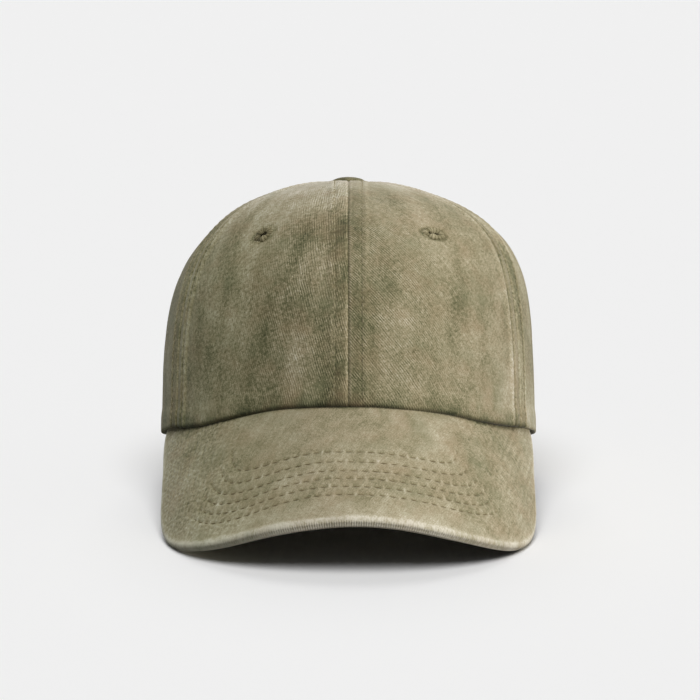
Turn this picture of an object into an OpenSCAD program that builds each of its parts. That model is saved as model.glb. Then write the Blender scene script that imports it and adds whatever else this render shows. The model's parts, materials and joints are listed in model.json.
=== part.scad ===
// Six-panel baseball cap with a curved visor and a strap closure, in millimetres.
// The cap is drawn level, with the crown's lower edge in the plane z = 0 and the visor towards -Y,
// and then tilted back until it stands on its visor corners and its rear edge.
// Left and right are the wearer's: left is +X.

/* [Crown] */
// Width of the crown at its lower edge
crown_w = 172; // [150:1:190]
// Length of the crown at its lower edge
crown_l = 196; // [170:1:215]
// Height of the crown from its lower edge to its top
crown_h = 114; // [100:1:125]
// How upright the front stands before it rounds over (2 is an ellipse)
front_fullness = 2.7; // [2.3:0.1:3.4]
// How upright the sides stand before they round over
side_fullness = 3.6; // [2.6:0.1:4]
// How upright the back stands before it rounds over
back_fullness = 2.6; // [2.3:0.1:3.2]
// How flat the top is towards the front
front_flatness = 2.2; // [1.9:0.05:2.5]
// How flat the top is towards the sides and the back
rear_flatness = 2.05; // [1.9:0.05:2.4]
// How far the top of the crown lies in front of its middle
apex_lean = 3.3; // [0:0.1:8]
// How far the lower edge dips at the temples, where the visor pulls it down
temple_dip = 4.6; // [0:0.1:6]
// Azimuth from the front of the deepest point of that dip
temple_dip_at = 51.5; // [45:0.5:58]
// Azimuth from the front of the seam between a front and a side panel
front_seam_at = 63; // [60:1:74]
// Azimuth from the front of the seam between a side and a back panel
back_seam_at = 124; // [116:1:130]
// Thickness of the crown cloth
panel_t = 1; // [0.8:0.1:1.4]
// Gap left at each sewn seam
seam_gap = 0.15; // [0.1:0.05:0.3]

/* [Eyelets] */
// Outer diameter of a sewn eyelet
eyelet_d = 8.6; // [7:0.2:10]
// Diameter of the hole through an eyelet
eyelet_hole_d = 3; // [2:0.2:3.6]
// Thickness of the thread rim on each side of the cloth
eyelet_rim_t = 0.6; // [0.4:0.1:1]
// Height of the eyelets above the lower edge
eyelet_z = 80; // [70:1:86]
// Azimuth from the front of the two front eyelets
front_eyelet_at = 32.5; // [28:0.5:38]

/* [Top button] */
// Diameter of the covered button
button_d = 17; // [14:0.5:20]
// Height of the button above the crown
button_h = 3.6; // [3:0.2:5]
// Thickness of the button's cloth cover
button_cloth_t = 0.7; // [0.5:0.1:1]
// Thickness of the button's metal shell
button_shell_t = 0.5; // [0.4:0.1:0.8]
// Diameter of the button's stem
button_stem_d = 2.4; // [1.8:0.2:3]
// Diameter of the washer inside the crown
button_washer_d = 14; // [11:0.5:16]
// Thickness of that washer
button_washer_t = 0.8; // [0.6:0.1:1.2]

/* [Visor] */
// Length of the visor from the crown to its front edge
visor_l = 73; // [62:1:80]
// How much further out than its sewn ends each side of the visor is, along its curve
visor_flare = 1.8; // [-6:0.2:6]
// How much larger the radius of the visor's bend is than half the crown's width
visor_bend_more = 7; // [1:0.5:20]
// Pitch of the visor below the crown's lower edge
visor_pitch = 49; // [42:1:54]
// How square the front corners are (2 is an ellipse)
visor_squareness = 2.4; // [2.1:0.1:3.2]
// How far in front of the crown the visor is widest
visor_widest_at = 6.8; // [0:0.2:14]
// Azimuth from the front at which the visor's ends are sewn in
visor_end_at = 79; // [76:0.5:82]
// Thickness of the stiff board
visor_board_t = 2.1; // [1.6:0.1:2.6]
// Thickness of the visor's cloth
visor_cloth_t = 0.8; // [0.6:0.1:1]

/* [Inside] */
// Height of the sweatband
sweatband_h = 33; // [26:1:38]
// Thickness of the sweatband
sweatband_t = 1; // [0.8:0.1:1.6]
// Width of the tapes over the seams
tape_w = 13; // [9:0.5:16]
// Thickness of the tapes
tape_t = 0.5; // [0.4:0.1:0.8]

/* [Rear opening] */
// Width of the opening at the lower edge
arch_w = 70; // [60:1:78]
// Height of the opening
arch_h = 48; // [42:1:54]
// Width of the binding round the opening
binding_w = 8; // [6:0.5:10]

/* [Closure] */
// Width of the strap
strap_w = 19; // [16:0.5:21]
// Thickness of the strap
strap_t = 1.2; // [1:0.1:1.6]
// Height of the strap above the lower edge
strap_lift = 9; // [8:0.5:12]
// How far the strap's ends reach behind the panels
strap_tuck = 11; // [8:0.5:13]
// Length of the buckle's plate
buckle_l = 18; // [16:0.5:20]
// Thickness of the buckle's metal
buckle_t = 0.9; // [0.7:0.1:1.2]
// Diameter of the bar that the tab is looped round
bar_d = 2; // [1.6:0.1:2.4]
// Thickness of the tab
tab_t = 1.6; // [1.2:0.1:2]
// Diameter of the lever's hub
hub_d = 4; // [3.6:0.1:4.6]
// Diameter of the hinge pin
pin_d = 1.7; // [1.4:0.1:2]
// Radial play of the hinge pin
pin_play = 0.05; // [0.03:0.01:0.08]

/* [Hidden] */

// Colours of the washed cloth and of the fittings
cloth = "#8c8570";
cloth_dark = "#7a745f";
thread = "#9a937c";
cotton = "#b3ac98";
brass = "#8a7346";
steel = "#a9a9a6";
board_white = "#d9d6cc";

// Clearance between sewn layers, and between the pieces of the closure
layer_gap = 0.35;
fit_gap = 0.3;
// Clearance of a stiff piece inside its cloth
board_gap = 0.15;
// Least step of rise between two rows of a sheet
row_step = 0.01;

// Semi-axes of the crown's lower edge
half_w = crown_w / 2;
half_l = crown_l / 2;
// Spread in azimuth of the temple dip, and the share of the height over which it fades
dip_spread = 34;
dip_fade = 0.5;

// Depths inside the crown's outer face at which the layers lie
tape_in = panel_t + layer_gap;
band_in = tape_in + tape_t + layer_gap;
strap_in = band_in;
tab_in = strap_in + strap_t + fit_gap;
visor_in = 2 * panel_t;
// Height of the visor's upper inner edge above the crown's lower edge
visor_rise = 0.4;

// A value that changes smoothly round the crown from front over side to back
function round_crown(phi, front, side, back) =
    let (c = cos(phi))
    side + ((c >= 0 ? front : back) - side) * c * c;

function fullness(phi) = round_crown(phi, front_fullness, side_fullness, back_fullness);
function flatness(phi) = round_crown(phi, front_flatness, rear_flatness, rear_flatness);

// Height of the lower edge at an azimuth: level, with a dip at each temple
function edge_z(phi) =
    let (w = (abs(phi) - temple_dip_at) / dip_spread)
    abs(w) < 1 ? -temple_dip * pow(cos(90 * w), 2) : 0;

// A point of the crown: azimuth phi, rise f from 0 at the edge to 1 at the top, depth d inside
function crown(phi, f, d) =
    let (
        k = fullness(phi),
        turn = 90 * pow(f, k / 2),
        reach = pow(max(0, cos(turn)), 2 / flatness(phi)),
        rise = pow(sin(turn), 2 / k),
        fade = pow(max(0, 1 - f / dip_fade), 2)
    )
    [
        (half_w - d) * reach * sin(phi),
        -(half_l - d) * reach * cos(phi) - apex_lean * rise * rise,
        (crown_h - d) * rise + edge_z(phi) * fade
    ];

// The rise at which the crown reaches a height above its level edge
function rise_at(z, phi) =
    let (k = fullness(phi))
    pow(asin(pow(z / crown_h, k / 2)) / 90, 2 / k);

// The rise at which the crown has drawn in to a radius round its top
function reach_at(r, phi) =
    let (
        full = norm([half_w * sin(phi), half_l * cos(phi)]),
        turn = acos(pow(r / full, flatness(phi) / 2))
    )
    pow(turn / 90, 2 / fullness(phi));

// Distance from the crown's axis, and the azimuth that a width spans there
function axis_distance(phi, f) =
    let (p = crown(phi, f, 0))
    norm([p[0], p[1] + apex_lean]);
function span_angle(width, phi, f) = atan(width / axis_distance(phi, f));

// Rise of the rear opening's top, of the eyelets, and of the panels' upper ends under the button
arch_f = rise_at(arch_h, 180);
eyelet_f = rise_at(eyelet_z, front_eyelet_at);
top_gap = 1.4;
top_f = reach_at(button_stem_d / 2 + top_gap, 90);
arch_phi = asin(arch_w / 2 / half_w);
arch_rows = 5;
mid_rows = 4;
top_rows = 7;
panel_rows = [
    for (i = [0 : arch_rows]) arch_f * sin(90 * i / arch_rows),
    for (i = [1 : mid_rows]) arch_f + (eyelet_f - arch_f) * i / mid_rows,
    for (i = [1 : top_rows]) eyelet_f + (top_f - eyelet_f) * i / top_rows
];

// Azimuths across each kind of panel, with a line through its eyelet
half_columns = 4;
side_eyelet_at = (front_seam_at + back_seam_at) / 2;
back_eyelet_at = (back_seam_at + 180) / 2;
function columns(from, middle, to) = [
    for (i = [0 : half_columns - 1]) from + (middle - from) * i / half_columns,
    for (i = [0 : half_columns]) middle + (to - middle) * i / half_columns
];
front_columns = columns(0, front_eyelet_at, front_seam_at);
side_columns = columns(front_seam_at, side_eyelet_at, back_seam_at);
back_columns = columns(back_seam_at, back_eyelet_at, 180);

// Share of the way across a panel at which each of its columns lies
function share(list, i) = (list[i] - list[0]) / (list[len(list) - 1] - list[0]);

// Azimuth at which a back panel ends at a rise: at the opening's edge, or at the rear seam
function back_end(f) =
    f < arch_f ? 180 - arch_phi * sqrt(1 - pow(f / arch_f, 2)) : 180;

// A closed sheet between two grids of points that have the same rows and columns; each cell is cut
// along its shorter diagonal
module sheet(outer, inner, flip = false) {
    rows = len(outer);
    cols = len(outer[0]);
    count = rows * cols;
    rim = [
        for (i = [0 : cols - 2]) i,
        for (j = [0 : rows - 2]) j * cols + cols - 1,
        for (i = [cols - 1 : -1 : 1]) (rows - 1) * cols + i,
        for (j = [rows - 1 : -1 : 1]) j * cols
    ];
    skin = [
        for (j = [0 : rows - 2]) for (i = [0 : cols - 2])
            let (
                a = j * cols + i,
                b = a + cols,
                rising = norm(outer[j + 1][i + 1] - outer[j][i]),
                falling = norm(outer[j + 1][i] - outer[j][i + 1])
            )
            each rising <= falling
                ? [[a, b, b + 1], [a, b + 1, a + 1]]
                : [[a, b, a + 1], [b, b + 1, a + 1]]
    ];
    walls = [
        for (k = [0 : len(rim) - 1])
            let (p = rim[k], q = rim[(k + 1) % len(rim)])
            each [[p, q, q + count], [p, q + count, p + count]]
    ];
    back = [for (t = skin) [t[0] + count, t[2] + count, t[1] + count]];
    all = concat(skin, back, walls);
    turned = [for (t = all) flip ? [t[0], t[2], t[1]] : t];
    points = [for (grid = [outer, inner]) for (row = grid) each row];
    polyhedron(points = points, faces = turned);
}

// Stands the level cap on the table, with the origin under the middle of its length
module standing() {
    translate([0, -(front_reach + rear_reach) / 2, stand_lift])
        rotate([-stand_tilt, 0, 0])
            children();
}

module mirrored() {
    mirror([1, 0, 0])
        children();
}

// One panel: its columns, drawn in at the seams by half the seam gap
module panel_sheet(list, at_arch) {
    last = len(list) - 1;
    function azimuth(i, f) =
        let (
            to = at_arch ? back_end(f) : list[last],
            phi = list[0] + (to - list[0]) * share(list, i),
            inset = span_angle(seam_gap / 2, phi, f)
        )
        i == 0 ? phi + inset : i == last ? phi - inset : phi;
    grids = [
        for (d = [0, panel_t]) [
            for (f = panel_rows) [for (i = [0 : last]) crown(azimuth(i, f), f, d)]
        ]
    ];
    sheet(grids[0], grids[1]);
}

// Puts its children on the crown at an eyelet, with Z along the cloth's normal
turn_step = 0.5;
rise_step = 0.005;
module at_eyelet(phi) {
    p = crown(phi, eyelet_f, panel_t / 2);
    along = crown(phi + turn_step, eyelet_f, 0) - crown(phi - turn_step, eyelet_f, 0);
    up = crown(phi, eyelet_f + rise_step, 0) - crown(phi, eyelet_f - rise_step, 0);
    normal = cross(along, up) / norm(cross(along, up));
    translate(p)
        rotate([0, acos(normal[2]), atan2(normal[1], normal[0])])
            children();
}

// The barrel's wall, and the length of the cut that makes room for it
eyelet_wall = 1;
eyelet_barrel_r = eyelet_hole_d / 2 + eyelet_wall;
eyelet_cut_l = 6 * panel_t;
module eyelet_hole(phi) {
    at_eyelet(phi)
        cylinder(r = eyelet_barrel_r + fit_gap / 2, h = eyelet_cut_l, center = true, $fn = 32);
}

// A ring of thread: a barrel through the cloth with a rounded rim on each face, dished to the crown by
// a slope
eyelet_dish = 0.1;
module eyelet_ring(phi) {
    face = panel_t / 2 + fit_gap;
    edge = eyelet_rim_t / 2;
    hole_r = eyelet_hole_d / 2;
    rim_r = eyelet_d / 2;
    function dished(r, z) = [r, z - eyelet_dish * r];
    at_eyelet(phi)
        rotate_extrude($fn = 32)
            polygon([
                dished(hole_r, -face - edge),
                dished(hole_r + edge, -face - eyelet_rim_t),
                dished(rim_r - edge, -face - eyelet_rim_t),
                dished(rim_r, -face),
                dished(eyelet_barrel_r, -face),
                dished(eyelet_barrel_r, face),
                dished(rim_r, face),
                dished(rim_r - edge, face + eyelet_rim_t),
                dished(hole_r + edge, face + eyelet_rim_t),
                dished(hole_r, face + edge)
            ]);
}

module front_panel() {
    difference() {
        panel_sheet(front_columns, false);
        eyelet_hole(front_eyelet_at);
    }
}

module side_panel() {
    difference() {
        panel_sheet(side_columns, false);
        eyelet_hole(side_eyelet_at);
    }
}

module back_panel() {
    difference() {
        panel_sheet(back_columns, true);
        eyelet_hole(back_eyelet_at);
    }
}

// A tape over a seam, narrowed towards the top to a half angle, so that six tapes meet without crossing
tape_clear = 1;
tape_top_r = button_washer_d / 2 + tape_clear;
tape_narrow = 25;
module seam_tape(phi, from) {
    top = reach_at(tape_top_r, phi);
    between = [for (f = panel_rows) if (f > from + row_step && f < top - row_step) f];
    rows = concat([from], between, [top]);
    grids = [
        for (d = [tape_in, tape_in + tape_t]) [
            for (f = rows)
                let (half = min(tape_narrow, span_angle(tape_w / 2, phi, f)))
                [for (s = [-1, 0, 1]) crown(phi + s * half, f, d)]
        ]
    ];
    sheet(grids[0], grids[1]);
}

// The tapes start above the lower edge, and the rear one above the opening's binding
tape_lift = 4;
edge_tape_from = rise_at(tape_lift, 90);
rear_tape_from = rise_at(arch_h + binding_w + tape_clear, 180);

// The sweatband runs inside the lower edge, from one side of the rear opening to the other, and ends
// short of the strap
band_short = 4;
band_low_f = rise_at(visor_rise + fit_gap, 90);
band_end = 180 - arch_phi - span_angle(strap_tuck + band_short, 180, 0);
module sweatband_sheet() {
    half = concat(
        front_columns,
        [for (i = [1 : 2 * half_columns]) side_columns[i]],
        [for (phi = back_columns) if (phi > back_seam_at && phi < band_end - 1) phi],
        [band_end]
    );
    round_list = concat([for (i = [len(half) - 1 : -1 : 1]) -half[i]], half);
    band_high = rise_at(sweatband_h, 90);
    rows = concat(
        [band_low_f],
        [for (f = panel_rows) if (f > band_low_f + row_step && f < band_high - row_step) f],
        [band_high]
    );
    grids = [
        for (d = [band_in, band_in + sweatband_t])
            [for (f = rows) [for (phi = round_list) crown(phi, f, d)]]
    ];
    sheet(grids[0], grids[1]);
}

// The binding follows the edge of the rear opening on the inside, from just above the lower edge
binding_low_f = 0.012;
binding_steps = 2 * arch_rows;
module binding_sheet() {
    out_f = rise_at(arch_h + binding_w, 180);
    out_phi = arch_phi + span_angle(binding_w, 180, 0);
    turns = [for (i = [-binding_steps : binding_steps]) 90 - 90 * i / binding_steps];
    grids = [
        for (d = [tape_in, tape_in + tape_t]) [
            for (size = [[arch_phi, arch_f], [out_phi, out_f]]) [
                for (turn = turns)
                    crown(180 + size[0] * cos(turn), max(binding_low_f, size[1] * sin(turn)), d)
            ]
        ]
    ];
    sheet(grids[0], grids[1], true);
}

// Visor

// The visor is a flat sheet, u across and q forward, bent about a cylinder; w is height above it
visor_bend_r = half_w + visor_bend_more;
visor_root = [0, -(half_l - visor_in), visor_rise];
visor_fore = [0, -cos(visor_pitch), -sin(visor_pitch)];
visor_up = [0, -sin(visor_pitch), cos(visor_pitch)];
function bent(u, q, w) =
    let (turn = u / visor_bend_r * 180 / PI, r = visor_bend_r + w)
    visor_root + [r * sin(turn), 0, 0] + q * visor_fore
    - (visor_bend_r - r * cos(turn)) * visor_up;

// Where the visor is sewn to the crown, in space and on the flat sheet
function sewn(phi) = crown(phi, 0, visor_in) + [0, 0, visor_rise];
function sewn_flat(phi) =
    let (p = sewn(phi))
    [visor_bend_r * asin(p[0] / visor_bend_r) * PI / 180, (p - visor_root) * visor_fore];
visor_end = sewn_flat(visor_end_at);
visor_half_w = visor_end[0] + visor_flare;

// The flat outline for s from 0 at the front centre to 1 at the visor's end
front_share = 0.78;
function visor_outline(s) =
    s <= front_share
    ? let (
        g = 90 * (1 - s / front_share),
        m = visor_squareness,
        k = pow(pow(cos(g), m) + pow(sin(g), m), -1 / m)
    )
    [visor_half_w * k * cos(g), visor_widest_at + (visor_l - visor_widest_at) * k * sin(g)]
    : let (t = (1 - s) / (1 - front_share))
    [
        visor_end[0] + (visor_half_w - visor_end[0]) * (1 - pow(1 - t, 2)),
        visor_end[1] + (visor_widest_at - visor_end[1]) * t
    ];

// The same outline moved inwards by an inset
outline_step = 0.002;
function visor_inner_line(s, inset) =
    let (
        ahead = visor_outline(min(1, s + outline_step)),
        behind = visor_outline(max(0, s - outline_step)),
        along = (ahead - behind) / norm(ahead - behind)
    )
    visor_outline(s) + inset * [along[1], -along[0]];

// A visor point: s from -1 to 1 across, and the share v of the way from the sewn edge (0) to a line
// that lies an inset within the outer edge (1)
visor_settle = 60;
visor_blunt = 0.985;
function visor_point(s, v, inset, w) =
    let (
        side = s < 0 ? -1 : 1,
        phi = abs(s) * visor_end_at,
        from = sewn_flat(phi),
        to = visor_inner_line(abs(s) * visor_blunt, inset),
        reach = v * norm(to - from),
        flat = from + (to - from) * v,
        lift = (sewn(phi) - bent(from[0], from[1], 0)) * visor_up,
        settle = pow(max(0, 1 - reach / visor_settle), 2),
        p = bent(flat[0], flat[1], w) + lift * settle * visor_up
    )
    [side * p[0], p[1], p[2]];

visor_columns = 40;
visor_spread = [for (i = [0 : visor_columns]) -1 + 2 * i / visor_columns];
visor_shares = [1, 0.75, 0.5, 0.25, 0];
visor_t = visor_board_t + 2 * visor_cloth_t + 2 * board_gap;
visor_upper_edge = [for (s = visor_spread) visor_point(s, 1, 0, 0)];
visor_lower_edge = [for (s = visor_spread) visor_point(s, 1, 0, -visor_t)];

// The tilt that sets the visor's corners and the rear edge on one level
function tilted(p, t) = [p[0], p[1] * cos(t) + p[2] * sin(t), p[2] * cos(t) - p[1] * sin(t)];
rear_foot = crown(180 - arch_phi, 0, 0);
function overhang(t) = min([for (p = visor_lower_edge) tilted(p, t)[2]]) - tilted(rear_foot, t)[2];
function level_tilt(low, high, steps) =
    let (t = (low + high) / 2)
    steps == 0 ? t
    : overhang(t) < 0 ? level_tilt(t, high, steps - 1)
    : level_tilt(low, t, steps - 1);
stand_tilt = level_tilt(0, 40, 40);
stand_lift = -tilted(rear_foot, stand_tilt)[2];
front_reach = min([for (p = visor_upper_edge) tilted(p, stand_tilt)[1]]);
rear_reach = max([
    for (f = panel_rows) for (phi = [back_end(f), back_eyelet_at])
        tilted(crown(phi, f, 0), stand_tilt)[1]
]);

function visor_row(v, inset, w) = [for (s = visor_spread) visor_point(s, v, inset, w)];

// One cloth of the visor, folded round the board's edge to just short of mid-thickness
module visor_cloth(face, fold, flip) {
    inside = face + (fold - face) / abs(fold - face) * visor_cloth_t;
    outer = concat(
        [visor_row(1, 0, fold)],
        [for (v = visor_shares) visor_row(v, 0, face)]
    );
    inner = concat(
        [visor_row(1, visor_cloth_t, fold)],
        [for (v = visor_shares) visor_row(v, visor_cloth_t, inside)]
    );
    sheet(outer, inner, flip);
}

visor_middle = -visor_t / 2;

module visor_board_sheet() {
    inset = visor_cloth_t + board_gap;
    grids = [
        for (w = [-inset, -visor_t + inset])
            [for (v = visor_shares) visor_row(v, inset, w)]
    ];
    sheet(grids[0], grids[1]);
}

// Top button

apex = [0, -apex_lean, crown_h];
button_r = button_d / 2;
// Clearance of the button over the crown, and of the washer under it
button_under = 0.2;
washer_gap = 0.45;
shell_r = button_r - button_cloth_t - board_gap;
shell_top = button_under + button_h - button_cloth_t - board_gap;
washer_top = -panel_t - washer_gap;
washer_low = washer_top - button_washer_t;

// Half outline of a dome, from its foot to its crown
dome_steps = 8;
function dome(r, low, high) = [
    for (i = [0 : dome_steps])
        let (a = 90 * i / dome_steps)
        [r * cos(a), low + (high - low) * sin(a)]
];
function reversed(list) = [for (i = [len(list) - 1 : -1 : 0]) list[i]];

module at_apex() {
    translate(apex)
        rotate_extrude($fn = 48)
            children();
}

// The cloth is turned in under the shell's edge by a lip, and rounded there
button_lip = 2.5;
button_round = 0.4;
module button_cover_solid() {
    foot = button_under + button_cloth_t;
    lip_r = button_r - button_lip;
    at_apex()
        polygon(concat(
            dome(button_r, foot, button_under + button_h),
            reversed(dome(shell_r + board_gap, foot, shell_top + board_gap)),
            [[lip_r, foot], [lip_r, button_under], [button_r - button_round, button_under]]
        ));
}

module button_shell_solid() {
    foot = button_under + button_cloth_t + board_gap;
    at_apex()
        polygon(concat(
            dome(shell_r, foot, shell_top),
            reversed(dome(shell_r - button_shell_t, foot, shell_top - button_shell_t))
        ));
}

// The stem is a rivet: a low head under the shell, and a head closed over the washer
rivet_gap = 0.1;
rivet_crown = 0.25;
rivet_head_t = 0.6;
rivet_chamfer = 0.2;
stem_r = button_stem_d / 2;
rivet_r = button_stem_d;
module button_stem_solid() {
    top = shell_top - button_shell_t - rivet_gap;
    low = washer_low - rivet_gap;
    at_apex()
        polygon([
            [0, top],
            [rivet_r, top - rivet_crown],
            [rivet_r, top - rivet_head_t],
            [stem_r, top - rivet_head_t - rivet_chamfer],
            [stem_r, low],
            [rivet_r, low],
            [rivet_r - rivet_head_t, low - rivet_head_t],
            [0, low - rivet_head_t - rivet_chamfer]
        ]);
}

module button_washer_solid() {
    hole_r = stem_r + rivet_gap;
    rim_r = button_washer_d / 2;
    bevel = button_washer_t / 2;
    at_apex()
        polygon([
            [hole_r, washer_top],
            [rim_r, washer_top],
            [rim_r, washer_top - bevel],
            [rim_r - bevel, washer_low],
            [hole_r, washer_low]
        ]);
}

// Closure

// The strap follows the crown inside the panels, with a flat stretch through the buckle
strap_top_f = rise_at(strap_lift + strap_w, 180);
bar_reach = 5.5;
flat_spare = 0.5;
flat_half = buckle_l / 2 + bar_reach + flat_spare;
flat_angle = asin(flat_half / (half_w - strap_in));
strap_end = arch_phi + span_angle(strap_tuck, 180, 0);
strap_steps = 5;
strap_angles = [
    for (i = [0 : strap_steps]) -strap_end + (strap_end - flat_angle) * i / strap_steps,
    for (i = [0 : strap_steps]) flat_angle + (strap_end - flat_angle) * i / strap_steps
];
function plan(turn, d) =
    let (p = crown(180 - turn, strap_top_f, d))
    [p[0], p[1]];
function band(turns, near, far) = concat(
    [for (t = turns) plan(t, near)],
    [for (i = [len(turns) - 1 : -1 : 0]) plan(turns[i], far)]
);

module closure_strap_solid() {
    translate([0, 0, strap_lift])
        linear_extrude(strap_w)
            polygon(band(strap_angles, strap_in, strap_in + strap_t));
}

// The buckle's own frame: x along the strap, y outwards from its middle, z up its width
buckle_y = plan(flat_angle, strap_in + strap_t / 2)[1];
buckle_z = strap_lift + strap_w / 2;
module at_buckle() {
    translate([0, buckle_y, buckle_z])
        children();
}

module centred_extrude(height) {
    translate([0, 0, -height / 2])
        linear_extrude(height)
            children();
}

// Clearance of the strap's edges, and the pin's distance from the end of the plate
cheek_gap = 0.4;
pin_setback = 1.2;
cheek_in = strap_w / 2 + cheek_gap;
frame_w = 2 * (cheek_in + buckle_t);
plate_top = -strap_t / 2 - fit_gap;
plate_low = plate_top - buckle_t;
eye_hole_r = bar_d / 2 + fit_gap / 2;
eye_r = eye_hole_r + tab_t / 2;
bar_at = [buckle_l / 2 + bar_reach, -strap_t / 2 - fit_gap - eye_r];
pin_at = [-buckle_l / 2 + hub_d / 2 + pin_setback, strap_t / 2 + fit_gap + hub_d / 2];

// One side of the frame: an ear round the pin, the side wall, and an arm down to the bar
arm_taper = 0.3;
module cheek_outline() {
    translate(pin_at)
        circle(d = hub_d, $fn = 48);
    polygon([
        [-buckle_l / 2, plate_low],
        [buckle_l / 2, plate_low],
        [bar_at[0], bar_at[1] - bar_d / 2],
        [bar_at[0] + bar_d / 2, bar_at[1]],
        [bar_at[0] + bar_d / 2 - arm_taper, bar_at[1] + bar_d / 2],
        [buckle_l / 2, strap_t / 2],
        [pin_at[0] + hub_d / 2, pin_at[1]],
        [pin_at[0] - hub_d / 2, pin_at[1]],
        [-buckle_l / 2, strap_t / 2]
    ]);
}

module buckle_frame_solid() {
    at_buckle() {
        difference() {
            for (side = [-1, 1])
                translate([0, 0, side * (cheek_in + buckle_t / 2)])
                    centred_extrude(buckle_t)
                        cheek_outline();
            translate(pin_at)
                cylinder(r = pin_d / 2 + pin_play, h = 2 * frame_w, center = true, $fn = 48);
        }
        translate([-buckle_l / 2, plate_low, -frame_w / 2])
            cube([buckle_l, buckle_t, frame_w]);
        translate(bar_at)
            cylinder(d = bar_d, h = frame_w - buckle_t, center = true, $fn = 48);
    }
}

// The tab is cloth looped round the bar, with its two layers sewn together inside the left back panel
tab_narrower = 2;
tab_short = 2;
tab_w = strap_w - tab_narrower;
tab_steps = 5;
tab_from = asin((bar_at[0] + eye_r - tab_t / 3) / (half_w - tab_in));
tab_to = strap_end - tab_short;
tab_angles = [for (i = [0 : tab_steps]) tab_from + (tab_to - tab_from) * i / tab_steps];
module buckle_tab_solid() {
    eye_at = [bar_at[0], bar_at[1] + buckle_y];
    translate([0, 0, buckle_z])
        difference() {
            union() {
                centred_extrude(tab_w)
                    polygon(band(tab_angles, tab_in, tab_in + tab_t));
                translate(eye_at)
                    cylinder(r = eye_r, h = tab_w, center = true, $fn = 48);
            }
            translate(eye_at)
                cylinder(r = eye_hole_r, h = 2 * tab_w, center = true, $fn = 48);
        }
}

pin_head_t = 0.5;
pin_head_d = 1.6 * pin_d;
module buckle_pin_solid() {
    at_buckle()
        translate(pin_at) {
            cylinder(d = pin_d, h = frame_w + 2 * (pin_play + pin_head_t), center = true, $fn = 48);
            for (side = [-1, 1])
                translate([0, 0, side * (frame_w / 2 + pin_play + pin_head_t / 2)])
                    cylinder(d = pin_head_d, h = pin_head_t, center = true, $fn = 48);
        }
}

// The lever: a hub on the pin, a plate over the strap with turned-down sides, and a finger lip
lever_short = 0.5;
lever_lip = 1;
lever_lip_slant = 0.6;
skirt_short = 3;
skirt_slant = 1.5;
lever_w = 2 * (cheek_in - fit_gap);
lever_end = buckle_l / 2 - lever_short;
module lever_outline() {
    low = pin_at[1] - buckle_t / 2;
    bend = lever_end - lever_lip;
    polygon([
        [pin_at[0], low],
        [bend, low],
        [lever_end, low + lever_lip],
        [lever_end - lever_lip_slant, low + lever_lip + buckle_t],
        [bend - lever_lip_slant, low + buckle_t],
        [pin_at[0], low + buckle_t]
    ]);
}

module buckle_lever_solid() {
    skirt_low = strap_t / 2 + 2 * fit_gap;
    at_buckle()
        difference() {
            union() {
                centred_extrude(lever_w)
                    lever_outline();
                translate(pin_at)
                    cylinder(d = hub_d, h = lever_w, center = true, $fn = 48);
                for (side = [-1, 1])
                    translate([0, 0, side * (lever_w - buckle_t) / 2])
                        centred_extrude(buckle_t)
                            polygon([
                                [pin_at[0], skirt_low],
                                [lever_end - skirt_short, skirt_low],
                                [lever_end - skirt_short + skirt_slant, pin_at[1]],
                                [pin_at[0], pin_at[1]]
                            ]);
            }
            translate(pin_at)
                cylinder(r = pin_d / 2 + pin_play, h = 2 * lever_w, center = true, $fn = 48);
        }
}

// Sub-parts, standing in their places

module front_left_panel() { color(cloth) standing() front_panel(); }
module front_right_panel() { color(cloth) standing() mirrored() front_panel(); }
module side_left_panel() { color(cloth) standing() side_panel(); }
module side_right_panel() { color(cloth) standing() mirrored() side_panel(); }
module back_left_panel() { color(cloth) standing() back_panel(); }
module back_right_panel() { color(cloth) standing() mirrored() back_panel(); }

module front_left_eyelet() { color(thread) standing() eyelet_ring(front_eyelet_at); }
module front_right_eyelet() { color(thread) standing() mirrored() eyelet_ring(front_eyelet_at); }
module side_left_eyelet() { color(thread) standing() eyelet_ring(side_eyelet_at); }
module side_right_eyelet() { color(thread) standing() mirrored() eyelet_ring(side_eyelet_at); }
module back_left_eyelet() { color(thread) standing() eyelet_ring(back_eyelet_at); }
module back_right_eyelet() { color(thread) standing() mirrored() eyelet_ring(back_eyelet_at); }

module front_seam_tape() { color(cotton) standing() seam_tape(0, edge_tape_from); }
module rear_seam_tape() { color(cotton) standing() seam_tape(180, rear_tape_from); }
module front_left_seam_tape() { color(cotton) standing() seam_tape(front_seam_at, edge_tape_from); }
module front_right_seam_tape() {
    color(cotton) standing() mirrored() seam_tape(front_seam_at, edge_tape_from);
}
module back_left_seam_tape() { color(cotton) standing() seam_tape(back_seam_at, edge_tape_from); }
module back_right_seam_tape() {
    color(cotton) standing() mirrored() seam_tape(back_seam_at, edge_tape_from);
}

module sweatband() { color(cotton) standing() sweatband_sheet(); }
module arch_binding() { color(cloth_dark) standing() binding_sheet(); }

module visor_top_cover() {
    color(cloth) standing() visor_cloth(0, visor_middle + board_gap / 2, false);
}
module visor_board() { color(board_white) standing() visor_board_sheet(); }
module visor_under_cover() {
    color(cloth_dark) standing() visor_cloth(-visor_t, visor_middle - board_gap / 2, true);
}

module crown_button_cover() { color(cloth) standing() button_cover_solid(); }
module crown_button_shell() { color(steel) standing() button_shell_solid(); }
module crown_button_stem() { color(steel) standing() button_stem_solid(); }
module crown_button_washer() { color(steel) standing() button_washer_solid(); }

module closure_strap() { color(cloth) standing() closure_strap_solid(); }
module buckle_tab() { color(cloth) standing() buckle_tab_solid(); }
module buckle_frame() { color(brass) standing() buckle_frame_solid(); }
module buckle_pin() { color(brass) standing() buckle_pin_solid(); }
module buckle_lever() { color(brass) standing() buckle_lever_solid(); }

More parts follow.
